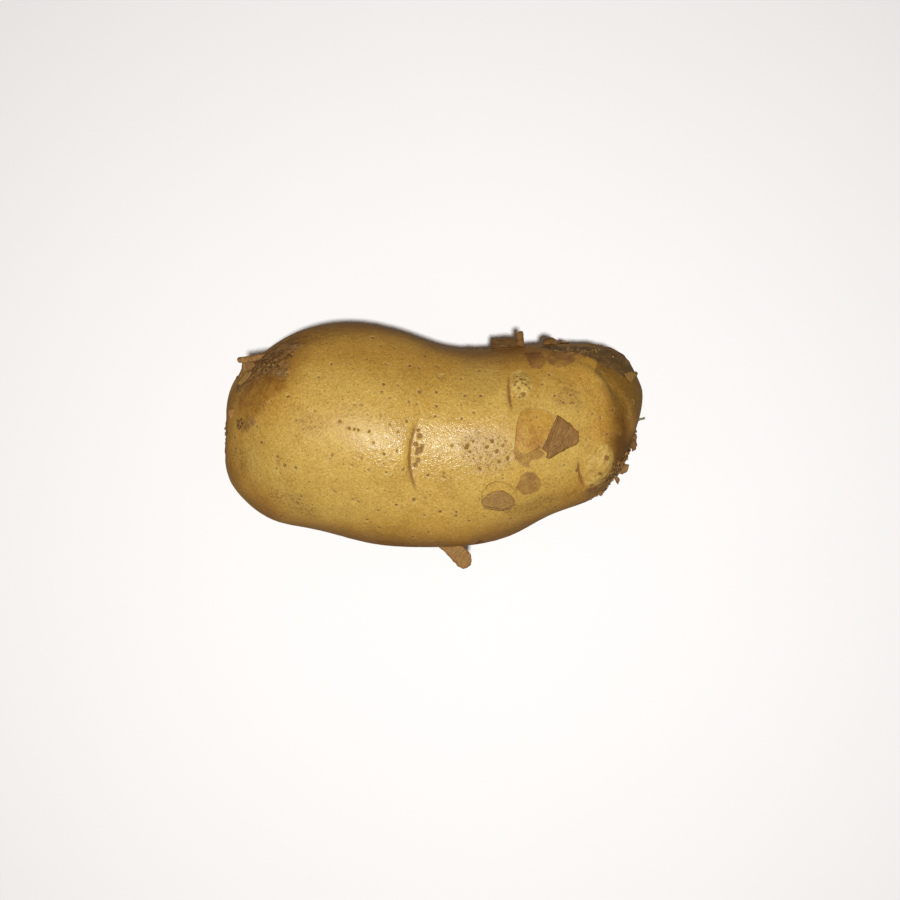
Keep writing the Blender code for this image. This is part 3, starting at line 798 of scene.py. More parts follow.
def standing_scrap(seed, spot, heading, rise, bend, cup, pale, outline):
    """Points, faces, grain and paleness of one scrap that is rooted in the skin and stands off it."""
    outline = np.array(outline)
    flat, faces = fill_outline(outline, seed)
    aim, tilt = math.radians(heading), math.radians(rise)
    ahead = np.array([math.cos(aim) * math.cos(tilt), math.sin(aim) * math.cos(tilt), math.sin(tilt)])
    across = np.array([-math.sin(aim), math.cos(aim), 0.0])
    share = np.clip(flat[:, 0] / outline[:, 0].max(), 0, 1)
    side = flat[:, 1] / np.abs(outline[:, 1]).max()
    grain = np.column_stack((flat, np.full(len(flat), 3.0 * seed)))
    crinkles = SCRAP_CRINKLE * share * rough(grain, CRINKLE_SIZE, 3)
    height = bend * share**2 + cup * side**2 * share + crinkles
    up = np.cross(ahead, across)
    points = skin_point(*spot)[0] + np.outer(flat[:, 0], ahead) + np.outer(flat[:, 1], across)
    return points + np.outer(height, up), faces, grain, dark_edge_and_shadow(flat, outline, pale)


for seed, scrap in enumerate(SCRAPS.values()):
    sheet_parts.append(standing_scrap(seed, *scrap))
print("standing scraps", len(sheet_parts))

# %% [markdown]
# ## Scraps that lie on the skin
#
# Some scraps folded over and lie flat, the two largest among them. Their outlines are known, so each is
# cut out of the skin's own surface: the outline is filled with fine triangles and dropped onto the
# skin, a little above it, and higher along the fold. A rectangle bent by noise couldn't have their
# straight torn sides.

# %% Flaps dropped onto the skin
# Spot, the two outline points that the fold runs between, height at the fold, lift, paleness, outline.
FLAPS = {
    "folded_flap": ((29.9, 97), (0, 14), 0.34, 0.035, 0.12, (
        (0.4, -5.3), (1.5, -4.2), (2.4, -3), (3.1, -2.6), (3.7, -1.2), (4.8, -0.2), (4.3, 0.8),
        (4.1, 2.1), (3.2, 2.6), (0.7, 2.9), (-1.6, 3.5), (-4, 4.2), (-4.7, 3.7), (-4.1, 2.9), (-5.4, 1.5),
    )),
    "flap_hem": ((29.9, 103.4), (9, 13), 0.1, 0.05, -0.25, (
        (-4.4, 1.3), (-3.7, 0.3), (-2.6, -0.3), (-1.8, -1), (-0.9, -0.8), (0.2, -0.4), (1.5, -0.7),
        (3.2, -0.5), (4.3, -0.9), (4.2, -0.1), (3.4, 0.4), (1.1, 0.7), (-1.3, 1.2), (-3.7, 1.9),
    )),
    "half_moon_flap": ((15.4, 125.2), (10, 12), 0.18, 0.06, 0.85, (
        (-4.2, -0.7), (-3.4, -1.8), (-2, -2.6), (-0.3, -2.9), (1.1, -2.8), (2.5, -1.5), (3.3, 0),
        (3.5, 1.5), (3.4, 2.4), (2.3, 2.8), (0.5, 2.8), (-2, 1.4), (-4.1, 0.1),
    )),
    "half_moon_lip": ((15.4, 125.2), (0, 4), 0.14, 0.02, 0.9, (
        (-4.1, 0.2), (-2, 1.5), (0.5, 2.8), (2.3, 2.9), (3.2, 2.5), (2.4, 3.4), (0.4, 3.4), (-2.1, 2.1),
        (-4, 0.9),
    )),
    "stolon_low_flap": ((-46.1, 83.7), (0, 1), 0.2, 0.2, 0.5, (
        (-1.2, -0.8), (1.1, -0.8), (0.7, 0.2), (0.1, 1.4), (-0.7, 0),
    )),
    "stolon_sliver": ((-45.9, 44), (8, 5), 0.08, 0.34, 0.75, (
        (-2.4, 0.8), (-2.3, 0.1), (-1, -0.6), (0.2, -1.6), (2.2, -0.9), (2.5, -0.2), (1.7, 0.2),
        (0.3, 0.8), (-1.5, 1.3),
    )),
    "stolon_fleck": ((-35.7, 49.2), (0, 2), 0.15, 0.15, 0.3, (
        (-1.2, 0.6), (-0.4, -0.7), (0.9, -1.2), (0.7, 0.4), (-0.2, 0.8),
    )),
    "stolon_fibre": ((-39, 75.5), (1, 3), 0.15, 0.1, 1.3, (
        (-0.3, -1.1), (0, -1.2), (0.1, 0), (-0.1, 1.2), (-0.4, 1.1),
    )),
    "rose_curl": ((48.6, 39.7), (6, 8), 0.05, 0.06, 0.7, (
        (-2.7, 1.2), (-0.6, -0.4), (1.2, -1.2), (3.1, -2.6), (3.7, -2.3), (1.5, 0.3), (-0.3, 2.7),
        (-1.2, 2.5), (-1.9, 1.8),
    )),
}


LAID_HEIGHT = 0.16
LAID_CRINKLE = 0.06
LAID_FOLD_WIDTH = 0.7


def laid_flap(seed, spot, fold, fold_height, lift, pale, outline):
    """Points, faces, grain and paleness of one scrap that lies on the skin."""
    outline = np.array(outline)
    flat, faces = fill_outline(outline, seed)
    middle, out, onward, turn = surface_frame(*spot)
    start, end = outline[fold[0]], outline[fold[1]]
    along_fold = (end - start) / np.linalg.norm(end - start)
    from_fold = np.abs((flat - start) @ (-along_fold[1], along_fold[0]))
    grain = np.stack((from_fold, flat @ along_fold, np.full(len(flat), 50.0 + 3 * seed)), axis=1)
    crinkles = LAID_CRINKLE * rough(grain, CRINKLE_SIZE, 2)
    height = LAID_HEIGHT + fold_height * hump(from_fold, LAID_FOLD_WIDTH) + lift * from_fold + crinkles
    points = []
    for (x, y), lifted in zip(flat, height):
        above = Vector(middle + onward * x + turn * y + out * RAY_START)
        points.append(np.array(skin_tree.ray_cast(above, Vector(-out))[0]) + out * lifted)
    return np.array(points), faces, grain, dark_edge_and_shadow(flat, outline, pale)


for seed, flap in enumerate(FLAPS.values()):
    sheet_parts.append(laid_flap(seed, *flap))
print("scraps in all", len(sheet_parts), "points", sum(len(part[0]) for part in sheet_parts))

# %% Small flakes
FLAKE_SEED = 11
FLAKE_SIDES = 9
# Spot, half the spread onward and round, how many flakes, and their size.
FLAKE_SPOTS = (
    ((-40.5, 44.0), 6.0, 3.0, 46, 0.50),
    ((-46.0, 84.0), 1.6, 1.4, 8, 0.42),
    ((34.0, 27.0), 5.0, 2.0, 22, 0.42),
    ((44.0, 136.0), 4.5, 1.8, 44, 0.50),
    ((46.8, 152.0), 3.6, 1.6, 34, 0.58),
    ((-49.0, 350.0), 2.6, 2.4, 12, 0.45),
    ((49.6, 200.0), 3.0, 2.4, 12, 0.45),
)


def strewn_place(draw, spot, spread_on, spread_round):
    """A random place on the finished skin around a spot, and the way out there."""
    middle, _, onward, turn = surface_frame(*spot)
    shift = onward * draw.normal() * spread_on / 2 + turn * draw.normal() * spread_round / 2
    place, out, _, _ = skin_tree.find_nearest(Vector(middle + shift))
    return np.array(place), out


def flake_parts():
    """Points, faces, grain and paleness of tiny scraps that lie about on the cork, one side up."""
    draw = np.random.default_rng(FLAKE_SEED)
    angle = np.linspace(0, 2 * math.pi, FLAKE_SIDES, endpoint=False)
    faces = [[0, side + 1, (side + 1) % FLAKE_SIDES + 1] for side in range(FLAKE_SIDES)]
    parts = []
    for spot, spread_on, spread_round, count, size in FLAKE_SPOTS:
        for _ in range(count):
            root, out = strewn_place(draw, spot, spread_on, spread_round)
            ahead = np.cross(out, draw.normal(size=3))
            ahead /= np.linalg.norm(ahead)
            reach = size * draw.uniform(0.4, 1.3) * draw.uniform(0.7, 1.2, FLAKE_SIDES)
            x = np.append(0, 1.3 * reach * np.cos(angle))
            y = np.append(0, 0.7 * reach * np.sin(angle))
            lift = 0.08 + draw.uniform(0.1, 0.45) * (x / size + 1) / 2
            points = root + np.outer(x, ahead) + np.outer(y, np.cross(out, ahead)) + np.outer(lift, out)
            grain = np.column_stack((x, y, np.full(len(x), draw.uniform(0, 90))))
            parts.append((points, faces, grain, np.full(len(x), draw.uniform(-0.9, 0.8))))
    return parts


sheet_parts += flake_parts()
print("with flakes", len(sheet_parts))


# %% Join the scraps into one piece
def joined(name, parts):
    """One object from several sets of points, faces, grain and paleness."""
    points = np.vstack([part[0] for part in parts])
    faces, start = [], 0
    for part in parts:
        faces += [[corner + start for corner in face] for face in part[1]]
        start += len(part[0])
    mesh = bpy.data.meshes.new(name)
    mesh.from_pydata((points * MM).tolist(), [], faces)
    store(mesh, "grain", np.vstack([part[2] for part in parts]))
    store(mesh, "pale", np.concatenate([part[3] for part in parts]))
    return new_object(name, mesh)


loose_skin = joined("loose_skin", sheet_parts)
sheet = loose_skin.modifiers.new("thickness", "SOLIDIFY")
sheet.thickness = SHEET_THICKNESS * MM
sheet.offset = 0
bake_modifiers(loose_skin)
loose_skin.data.shade_smooth()
print("loose skin faces", len(loose_skin.data.polygons))

# %% [markdown]
# ## Soil and rootlets
#
# Soil sticks where the skin is rough: along the rim of the rose end and in the cork. Each crumb is a
# small ball pushed out of shape by noise and pressed into the skin. The rose end also keeps the stubs of
# a few rootlets.

# %% Crumbs of soil
CRUMB_SEED = 5
# Spot, half the spread onward and round, how many crumbs, and their size.
CRUMB_SPOTS = (
    ((48.6, 152.0), 2.6, 1.0, 26, 0.42),
    ((45.4, 158.0), 2.8, 1.2, 30, 0.46),
    ((41.0, 164.0), 2.8, 1.2, 24, 0.40),
    ((44.0, 138.0), 3.0, 1.2, 14, 0.30),
    ((36.0, 26.0), 7.0, 1.6, 30, 0.30),
    ((-38.0, 50.0), 4.0, 2.0, 14, 0.26),
    ((-49.0, 350.0), 2.0, 2.0, 10, 0.34),
    ((-51.6, 95.0), 1.5, 2.0, 10, 0.34),
)


def crumb_parts():
    """Points, faces, grain and paleness of every crumb."""
    form = bmesh.new()
    bmesh.ops.create_icosphere(form, subdivisions=2, radius=1.0)
    ball = np.array([corner.co for corner in form.verts])
    faces = [[corner.index for corner in face.verts] for face in form.faces]
    form.free()
    draw = np.random.default_rng(CRUMB_SEED)
    parts = []
    for spot, spread_on, spread_round, count, size in CRUMB_SPOTS:
        for _ in range(count):
            root = strewn_place(draw, spot, spread_on, spread_round)[0]
            stretch = size * draw.uniform(0.5, 1.3) * draw.uniform(0.6, 1.3, 3)
            dent = 1 + 0.35 * rough(ball + draw.uniform(0, 50, 3), 0.9, 2)
            points = root + ball * dent[:, None] * stretch
            grain = ball * size + draw.uniform(0, 50, 3)
            parts.append((points, faces, grain, np.full(len(ball), draw.uniform())))
    return parts


soil = joined("soil", crumb_parts())
soil.data.shade_smooth()
print("soil faces", len(soil.data.polygons))

# %% Rootlets
# Spot, lean along the tuber and round it, length and radius.
ROOTLETS = (
    ((50.9, 146.0), (0.2, -0.3), 1.9, 0.34),
    ((47.0, 156.0), (0.8, 0.4), 1.1, 0.24),
    ((41.5, 166.0), (-0.9, 0.5), 1.2, 0.22),
    ((44.0, 300.0), (0.4, -0.2), 1.8, 0.20),
)
ROOT_RINGS, ROOT_SIDES = 12, 8
# How deep a rootlet starts in the skin in millimetres, and its bend as a share of its length.
ROOT_DEPTH = 0.3
ROOT_BEND = 0.25


def rootlet(seed, spot, lean, length, radius):
    """A thin bent root that narrows to its broken tip."""
    root, out, onward, turn = skin_point(*spot)
    heading = out + onward * lean[0] + turn * lean[1]
    heading /= np.linalg.norm(heading)
    side = np.cross(heading, onward)
    side /= np.linalg.norm(side)
    other = np.cross(heading, side)
    points = []
    for ring in range(ROOT_RINGS + 1):
        share = ring / ROOT_RINGS
        bend = ROOT_BEND * length * share**2
        middle = root + heading * (length * share - ROOT_DEPTH) + side * bend
        girth = radius * (1.25 - 0.5 * share) * (1 + 0.18 * math.sin(9 * share + seed))
        for step in range(ROOT_SIDES):
            angle = 2 * math.pi * step / ROOT_SIDES
            points.append(middle + (side * math.cos(angle) + other * math.sin(angle)) * girth)
    tip = ROOT_RINGS * ROOT_SIDES
    faces = [list(range(ROOT_SIDES - 1, -1, -1)), list(range(tip, tip + ROOT_SIDES))]
    for ring in range(ROOT_RINGS):
        for step in range(ROOT_SIDES):
            a, b = ring * ROOT_SIDES + step, ring * ROOT_SIDES + (step + 1) % ROOT_SIDES
            faces.append([a, b, b + ROOT_SIDES, a + ROOT_SIDES])
    points = np.array(points)
    return points, faces, points - root, np.full(len(points), 0.6)


roots = joined("rootlets", [rootlet(seed, *root) for seed, root in enumerate(ROOTLETS)])
roots.data.shade_smooth()
print("rootlet faces", len(roots.data.polygons))

# %% [markdown]
# ## Building materials from named blocks
#
# A material in Blender is a network of nodes. A few small helpers keep it readable: one adds a node and
# wires it up, others do a sum or mix two colours, and one lays a whole list of layers over a colour. Two
# effects are node groups: a fine grain, which every dry plant surface has and every finish here uses, and
# a ragged mask, which turns a distance into a torn edge for each zone of the skin. A group gives out only
# a shade, a height or a mask. The shader stays in the material.

# %% Node helpers
def fill(tree, node, inputs):
    """Sets a node's inputs to values, or wires them to other nodes' outputs."""
    for name, value in inputs.items():
        if isinstance(value, bpy.types.NodeSocket):
            tree.links.new(value, node.inputs[name])
        else:
            node.inputs[name].default_value = value


def put(tree, kind, inputs, **settings):
    """Adds a node, applies its settings and fills its inputs."""
    made = tree.nodes.new("ShaderNode" + kind)
    for name, value in settings.items():
        setattr(made, name, value)
    fill(tree, made, inputs)
    return made


def calc(tree, operation, first, second=0.0, third=0.0, clamp=False):
    """The result of a sum on numbers or outputs."""
    made = put(tree, "Math", {0: first, 1: second, 2: third}, operation=operation, use_clamp=clamp)
    return made.outputs[0]


def times(tree, first, *others):
    """Values multiplied together."""
    for other in others:
        first = calc(tree, "MULTIPLY", first, other)
    return first


def summed(tree, total, *terms):
    """A total with terms added to it: each is a mask and what it adds where it is 1."""
    for mask, amount in terms:
        total = calc(tree, "MULTIPLY_ADD", mask, amount, total)
    return total


def vector(tree, operation, inputs, output="Vector"):
    """The result of a sum on vectors."""
    return put(tree, "VectorMath", inputs, operation=operation).outputs[output]


def mix(tree, share, first, second, mode="MIX"):
    """Two colours mixed by a share."""
    made = put(tree, "Mix", {0: share, 6: first, 7: second}, data_type="RGBA", blend_type=mode)
    return made.outputs[2]


def layered(tree, colour, *layers):
    """Layers on a colour: each has a mask, a strength, a paint and, where it isn't plain, its mode."""
    for mask, strength, *paint in layers:
        colour = mix(tree, times(tree, mask, strength), colour, *paint)
    return colour


def spread(tree, value, low, high, to_low=0.0, to_high=1.0):
    """A value carried smoothly from one range to another."""
    names = {"Value": value, "From Min": low, "From Max": high, "To Min": to_low, "To Max": to_high}
    return put(tree, "MapRange", names, interpolation_type="SMOOTHSTEP").outputs[0]


def clouds(tree, where, size, detail=2.0, roughness=0.55):
    """Cloudy noise from 0 to 1 with lumps of this size in millimetres."""
    names = {"Vector": where, "Scale": 1.0 / size, "Detail": detail, "Roughness": roughness}
    return put(tree, "TexNoise", names).outputs["Fac"]


def attribute(tree, name, output="Fac"):
    """What the mesh stored under this name."""
    return put(tree, "Attribute", {}, attribute_name=name).outputs[output]


def new_group(name, inputs, outputs):
    """An empty node group with named inputs and outputs."""
    tree = bpy.data.node_groups.new(name, "ShaderNodeTree")
    for socket, kind, default in inputs:
        made = tree.interface.new_socket(socket, in_out="INPUT", socket_type="NodeSocket" + kind)
        if default is not None:
            made.default_value = default
    for socket, kind in outputs:
        tree.interface.new_socket(socket, in_out="OUTPUT", socket_type="NodeSocket" + kind)
    return tree, tree.nodes.new("NodeGroupInput"), tree.nodes.new("NodeGroupOutput")


def resized(tree, place, size):
    """A place divided by a size."""
    return vector(tree, "SCALE", {0: place, "Scale": calc(tree, "DIVIDE", 1.0, size)})


def new_material(name):
    """A material with its node tree and its Principled shader."""
    material = bpy.data.materials.new(name)
    material.use_nodes = True
    return material, material.node_tree, material.node_tree.nodes["Principled BSDF"]


def bumped(tree, height):
    """The direction in which a surface faces, bent by a height in millimetres."""
    return put(tree, "Bump", {"Height": height, "Distance": MM, "Strength": 1.0}).outputs[0]


def dress(thing, material):
    """Gives a piece its material."""
    thing.data.materials.append(material)
    print(thing.name, "has a material of", len(material.node_tree.nodes), "nodes")


print("node helpers ready")

# %% [markdown]
# ### Fine grain
#
# Cork cells are too small to see, but they cluster. The grain is noise at three sizes: soft clouds,
# specks the size of sand, and the finest level that a photograph still shows. It comes out as a shade
# to multiply a colour by, and as a height for the bump. The height also has tiny facets, which break the
# shine into glitter.

# %% Group: fine grain
# Lump sizes in millimetres.
SOFT_SIZE = 3.4
SAND_SIZE = 0.60
FINEST_SIZE = 0.24
FACET_SIZE = 0.27
# What the three sizes add up to on average, so that the shade swings around 1.
GRAIN_MIDDLE = 0.575
GRAIN_SWING = 5.0


def grain_group():
    """The grain's shade and height."""
    tree, given, result = new_group(
        "fine grain",
        [("Position", "Vector", None), ("Size", "Float", 1.0), ("Contrast", "Float", 0.2)],
        [("Shade", "Color"), ("Height", "Float")],
    )
    where = resized(tree, given.outputs["Position"], given.outputs["Size"])
    soft = clouds(tree, where, SOFT_SIZE, 2.0)
    sand = clouds(tree, where, SAND_SIZE, 3.0, 0.7)
    finest = clouds(tree, where, FINEST_SIZE, 1.0)
    facets = clouds(tree, where, FACET_SIZE, 0.0)
    total = summed(tree, times(tree, finest, 0.50), (sand, 0.50), (soft, 0.15))
    swing = times(tree, calc(tree, "SUBTRACT", total, GRAIN_MIDDLE), given.outputs["Contrast"])
    shade = calc(tree, "MULTIPLY_ADD", swing, GRAIN_SWING, 1.0)
    redder, bluer = calc(tree, "POWER", shade, 0.75), calc(tree, "POWER", shade, 1.35)
    shade = put(tree, "CombineColor", {0: redder, 1: shade, 2: bluer}).outputs[0]
    fill(tree, result, {"Shade": shade, "Height": summed(tree, times(tree, facets, 0.6), (sand, 0.25))})
    return tree


fine_grain = grain_group()
print("group", fine_grain.name, "sockets", [item.name for item in fine_grain.interface.items_tree])

# %% [markdown]
# ### Ragged mask
#
# A zone's distance is smooth, and a torn edge isn't. The group shakes the distance with noise, coarse
# and fine, and then cuts it: 1 inside, 0 outside, over as soft an edge as asked. The same shaken
# distance also gives a thin rim along the edge, for the dark line where skin curls up.

# %% Group: ragged mask
def ragged_group():
    """The mask and the rim of a torn edge."""
    tree, given, result = new_group(
        "ragged mask",
        [("Position", "Vector", None), ("Distance", "Float", 9.0), ("Wobble", "Float", 0.3),
         ("Wobble Size", "Float", 1.2), ("Softness", "Float", 0.1), ("Rim", "Float", 0.2)],
        [("Mask", "Float"), ("Rim", "Float")],
    )
    where = resized(tree, given.outputs["Position"], given.outputs["Wobble Size"])
    shake = calc(tree, "SUBTRACT", clouds(tree, where, 1.0, 4.0, 0.65), 0.5)
    reach = times(tree, given.outputs["Wobble"], 4.0)
    shaken = calc(tree, "MULTIPLY_ADD", shake, reach, given.outputs["Distance"])
    soft = given.outputs["Softness"]
    off_edge = calc(tree, "DIVIDE", calc(tree, "ABSOLUTE", shaken), given.outputs["Rim"])
    mask = spread(tree, shaken, times(tree, soft, -1.0), soft, 1.0, 0.0)
    fill(tree, result, {"Mask": mask, "Rim": calc(tree, "SUBTRACT", 1.0, off_edge, clamp=True)})
    return tree


ragged_mask = ragged_group()
print("group", ragged_mask.name, "sockets", [item.name for item in ragged_mask.interface.items_tree])

# %% [markdown]
# ## The skin's finish
#
# Real skin isn't one brown. Ochre and straw drift into each other over a few centimetres, a fine grain
# lies over both, and then come the layers that tell the potato's story: russet haze, stains, amber, bare
# windows, freckles, pore rings, brows, buds, cork and at last the pores. Each layer is a mask and a
# colour, mixed on top of the last. The skin shines a little, because cork is waxy, and most of all where
# it was rubbed smooth, in the gleam. The grain breaks that shine into sparkles.
# The light streaks on the buds are painted highlights.
# Two of the layers are painted shade: the sides, ends and underside are darkened, and the rose end more.

# %% Colours and patterns of the skin
OCHRE = (0.550, 0.284, 0.050, 1.0)
OCHRE_DEEP = (0.42, 0.225, 0.040, 1.0)
STRAW = (0.628, 0.380, 0.086, 1.0)
# Painted shade, multiplied over the sides, ends and underside.
SIDE_SHADE = (0.58, 0.46, 0.34, 1.0)
CREASE = (0.285, 0.118, 0.028, 1.0)
# Painted highlight: the light streaks over the buds.
BUD_STREAK_HIGHLIGHT = (0.690, 0.455, 0.125, 1.0)
BUD_LOW = (0.520, 0.305, 0.064, 1.0)
FRECKLE = (0.20, 0.095, 0.028, 1.0)
PORE_BROWN = (0.205, 0.088, 0.024, 1.0)
PORE_RIM = (0.62, 0.42, 0.16, 1.0)
RUSSET = (0.290, 0.135, 0.030, 1.0)
STAIN = (0.285, 0.118, 0.033, 1.0)
BARE = (0.540, 0.288, 0.046, 1.0)
BARE_DEEP = (0.435, 0.197, 0.031, 1.0)
CORK = (0.280, 0.130, 0.035, 1.0)
CORK_DARK = (0.175, 0.078, 0.022, 1.0)
CORK_FLAKE = (0.450, 0.290, 0.120, 1.0)
SCAB = (0.200, 0.082, 0.018, 1.0)
SCAB_PALE = (0.340, 0.160, 0.045, 1.0)
# Painted shade, multiplied over the rose end.
END_SHADE = (0.44, 0.40, 0.34, 1.0)
BAND = (0.180, 0.098, 0.032, 1.0)
BAND_DARK = (0.100, 0.050, 0.018, 1.0)
AMBER = (0.400, 0.176, 0.024, 1.0)
AMBER_DEEP = (0.250, 0.095, 0.016, 1.0)
FRESH = (0.600, 0.350, 0.080, 1.0)
# The zones' edges: how far noise shakes each, the size of that noise, how soft it is, and its rim's width.
ZONE_EDGES = {
    "straw": (1.6, 8.0, 6.0),
    "gleam": (1.4, 6.0, 5.0),
    # These two zones are painted shade: the sides and the rose end.
    "tan": (0.9, 7.0, 5.0),
    "painted_end_shade": (1.2, 4.0, 3.0),
    "bud": (0.25, 1.2, 0.5),
    "fresh": (0.2, 1.2, 0.4),
    "amber": (0.7, 2.2, 0.9),
    "band": (0.8, 1.4, 0.5),
    "russet": (1.0, 1.6, 1.5),
    "stain": (0.30, 1.6, 0.30, 0.22),
    "bare": (0.12, 1.2, 0.06, 0.18),
    "cork": (1.1, 1.8, 0.9),
    "nubble": (0.35, 1.2, 0.5),
}
# Cloudy patterns: lump size, detail and roughness, then the range of the noise and the range it becomes.
PATTERNS = {
    "drift": ((16.0, 2.0), (0.36, 0.64, -0.25, 0.25)),
    "patches": ((6.5, 3.0), (0.46, 0.70, 0.0, 0.30)),
    "dabs": ((0.95, 3.0, 0.6), (0.48, 0.64, 0.16, 0.60)),
    "stain": ((2.4, 4.0, 0.6), (0.36, 0.64, 0.45, 0.85)),
    "flesh": ((4.5, 3.0), (0.40, 0.62)),
    "glow": ((3.0, 4.0, 0.6), (0.30, 0.56, 0.45, 0.95)),
    "mottled": ((1.5, 4.0, 0.65), (0.50, 0.64, 0.0, 0.48)),
    "band": ((1.8, 4.0, 0.6), (0.36, 0.60)),
    "crumbly": ((1.7, 4.0, 0.65), (0.34, 0.60)),
    "flaky": ((2.6, 3.0, 0.6), (0.30, 0.56, 0.35, 0.95)),
    "pore": ((3.0, 1.0), (0.38, 0.62, 0.45, 0.88)),
    "scab": ((0.7, 3.0), (0.36, 0.5, 0.70, 1.0)),
    "dullness": ((1.2, 3.0, 0.7), (0.35, 0.65, 0.42, 0.54)),
}
# Specks: spacing and radius, the size of the clouds that gather them, and where in the noise they start.
SPECKLES = {
    "freckles": (1.25, 0.15, 8.0, 0.36),
    "pinpricks": (0.62, 0.20, 3.0, 0.44),
    "flecks": (0.62, 0.36, 1.4, 0.42),
    "bud": (0.72, 0.30, 1.6, 0.34),
}
# Pores wider than this turn into scabs.
SCAB_FROM, SCAB_TO = 0.47, 0.51
PORE_SHAKE = 0.75
HAIRLINE = (0.004, 0.030)
GRAIN_CONTRAST = 0.44
GRAIN_BUMP = 0.118
CELL_BUMP = -0.055
print("zones", len(ZONE_EDGES), "patterns", len(PATTERNS), "speckles", len(SPECKLES))


# %% Masks of the skin
def millimetres(tree):
    """The place on the object, in millimetres."""
    place = put(tree, "TexCoord", {}).outputs["Object"]
    return vector(tree, "SCALE", {0: place, "Scale": 1.0 / MM})


def zone_mask(tree, where, name, wobble, size, softness, rim=0.2):
    """The mask and the rim of a stored zone."""
    inputs = {"Position": where, "Distance": attribute(tree, name), "Wobble": wobble,
              "Wobble Size": size, "Softness": softness, "Rim": rim}
    made = put(tree, "Group", inputs, node_tree=ragged_mask)
    return made.outputs["Mask"], made.outputs["Rim"]


def pore_masks(tree, where):
    """The dark core of the pores, the pale ring around them, and the way out from a scab's middle."""
    wobble = put(tree, "TexNoise", {"Vector": where, "Scale": 2.2, "Detail": 1.0}).outputs["Color"]
    shift = vector(tree, "SUBTRACT", {0: wobble, 1: (0.5, 0.5, 0.5)})
    arrow = attribute(tree, "pore_arrow", "Vector")
    arrow = vector(tree, "MULTIPLY_ADD", {0: shift, 1: (PORE_SHAKE,) * 3, 2: arrow})
    length = vector(tree, "LENGTH", {0: arrow}, "Value")
    length = calc(tree, "MAXIMUM", length, calc(tree, "SUBTRACT", attribute(tree, "pore_distance"), 0.14))
    share = calc(tree, "DIVIDE", length, attribute(tree, "pore_radius"))
    core = spread(tree, share, 0.45, 1.05, 1.0, 0.0)
    ring = times(tree, spread(tree, share, 0.9, 1.2), spread(tree, share, 1.3, 1.9, 1.0, 0.0))
    return core, ring, spread(tree, share, 0.18, 0.50)


def freckle_mask(tree, where, spacing, radius, cover_size, cover):
    """Tiny specks, more of them in some places than in others."""
    cells = put(tree, "TexVoronoi", {"Vector": where, "Scale": 1.0 / spacing}).outputs["Distance"]
    speck = spread(tree, cells, radius * 0.6, radius, 1.0, 0.0)
    return times(tree, speck, spread(tree, clouds(tree, where, cover_size, 2.0), cover, cover + 0.12))


def hairlines(tree, where, size, detail, roughness, strength):
    """Thin lines where cloudy noise crosses its middle."""
    off = calc(tree, "SUBTRACT", clouds(tree, where, size, detail, roughness), 0.5)
    return spread(tree, calc(tree, "ABSOLUTE", off), *HAIRLINE, strength, 0.0)


def crease_mask(tree, where):
    """The frayed dark line in each brow, weaker towards its ends."""
    shake = calc(tree, "SUBTRACT", clouds(tree, where, 1.3, 3.0), 0.5)
    frayed = calc(tree, "MULTIPLY_ADD", shake, 0.9, calc(tree, "ABSOLUTE", attribute(tree, "crease")))
    left = spread(tree, attribute(tree, "crease_strength"), 0.25, 0.65)
    return times(tree, spread(tree, frayed, 0.20, 0.55, 1.0, 0.0), left)


def bud_highlight_streaks(tree, where):
    """Painted highlights: light streaks that run aslant over a bud, along its folds."""
    turned = put(tree, "VectorRotate", {"Vector": where, "Angle": -0.95}, rotation_type="Z_AXIS").outputs[0]
    drawn = vector(tree, "MULTIPLY", {0: turned, 1: (0.22, 1.0, 1.0)})
    return spread(tree, clouds(tree, drawn, 1.0, 3.0), 0.42, 0.60)


print("mask helpers ready")


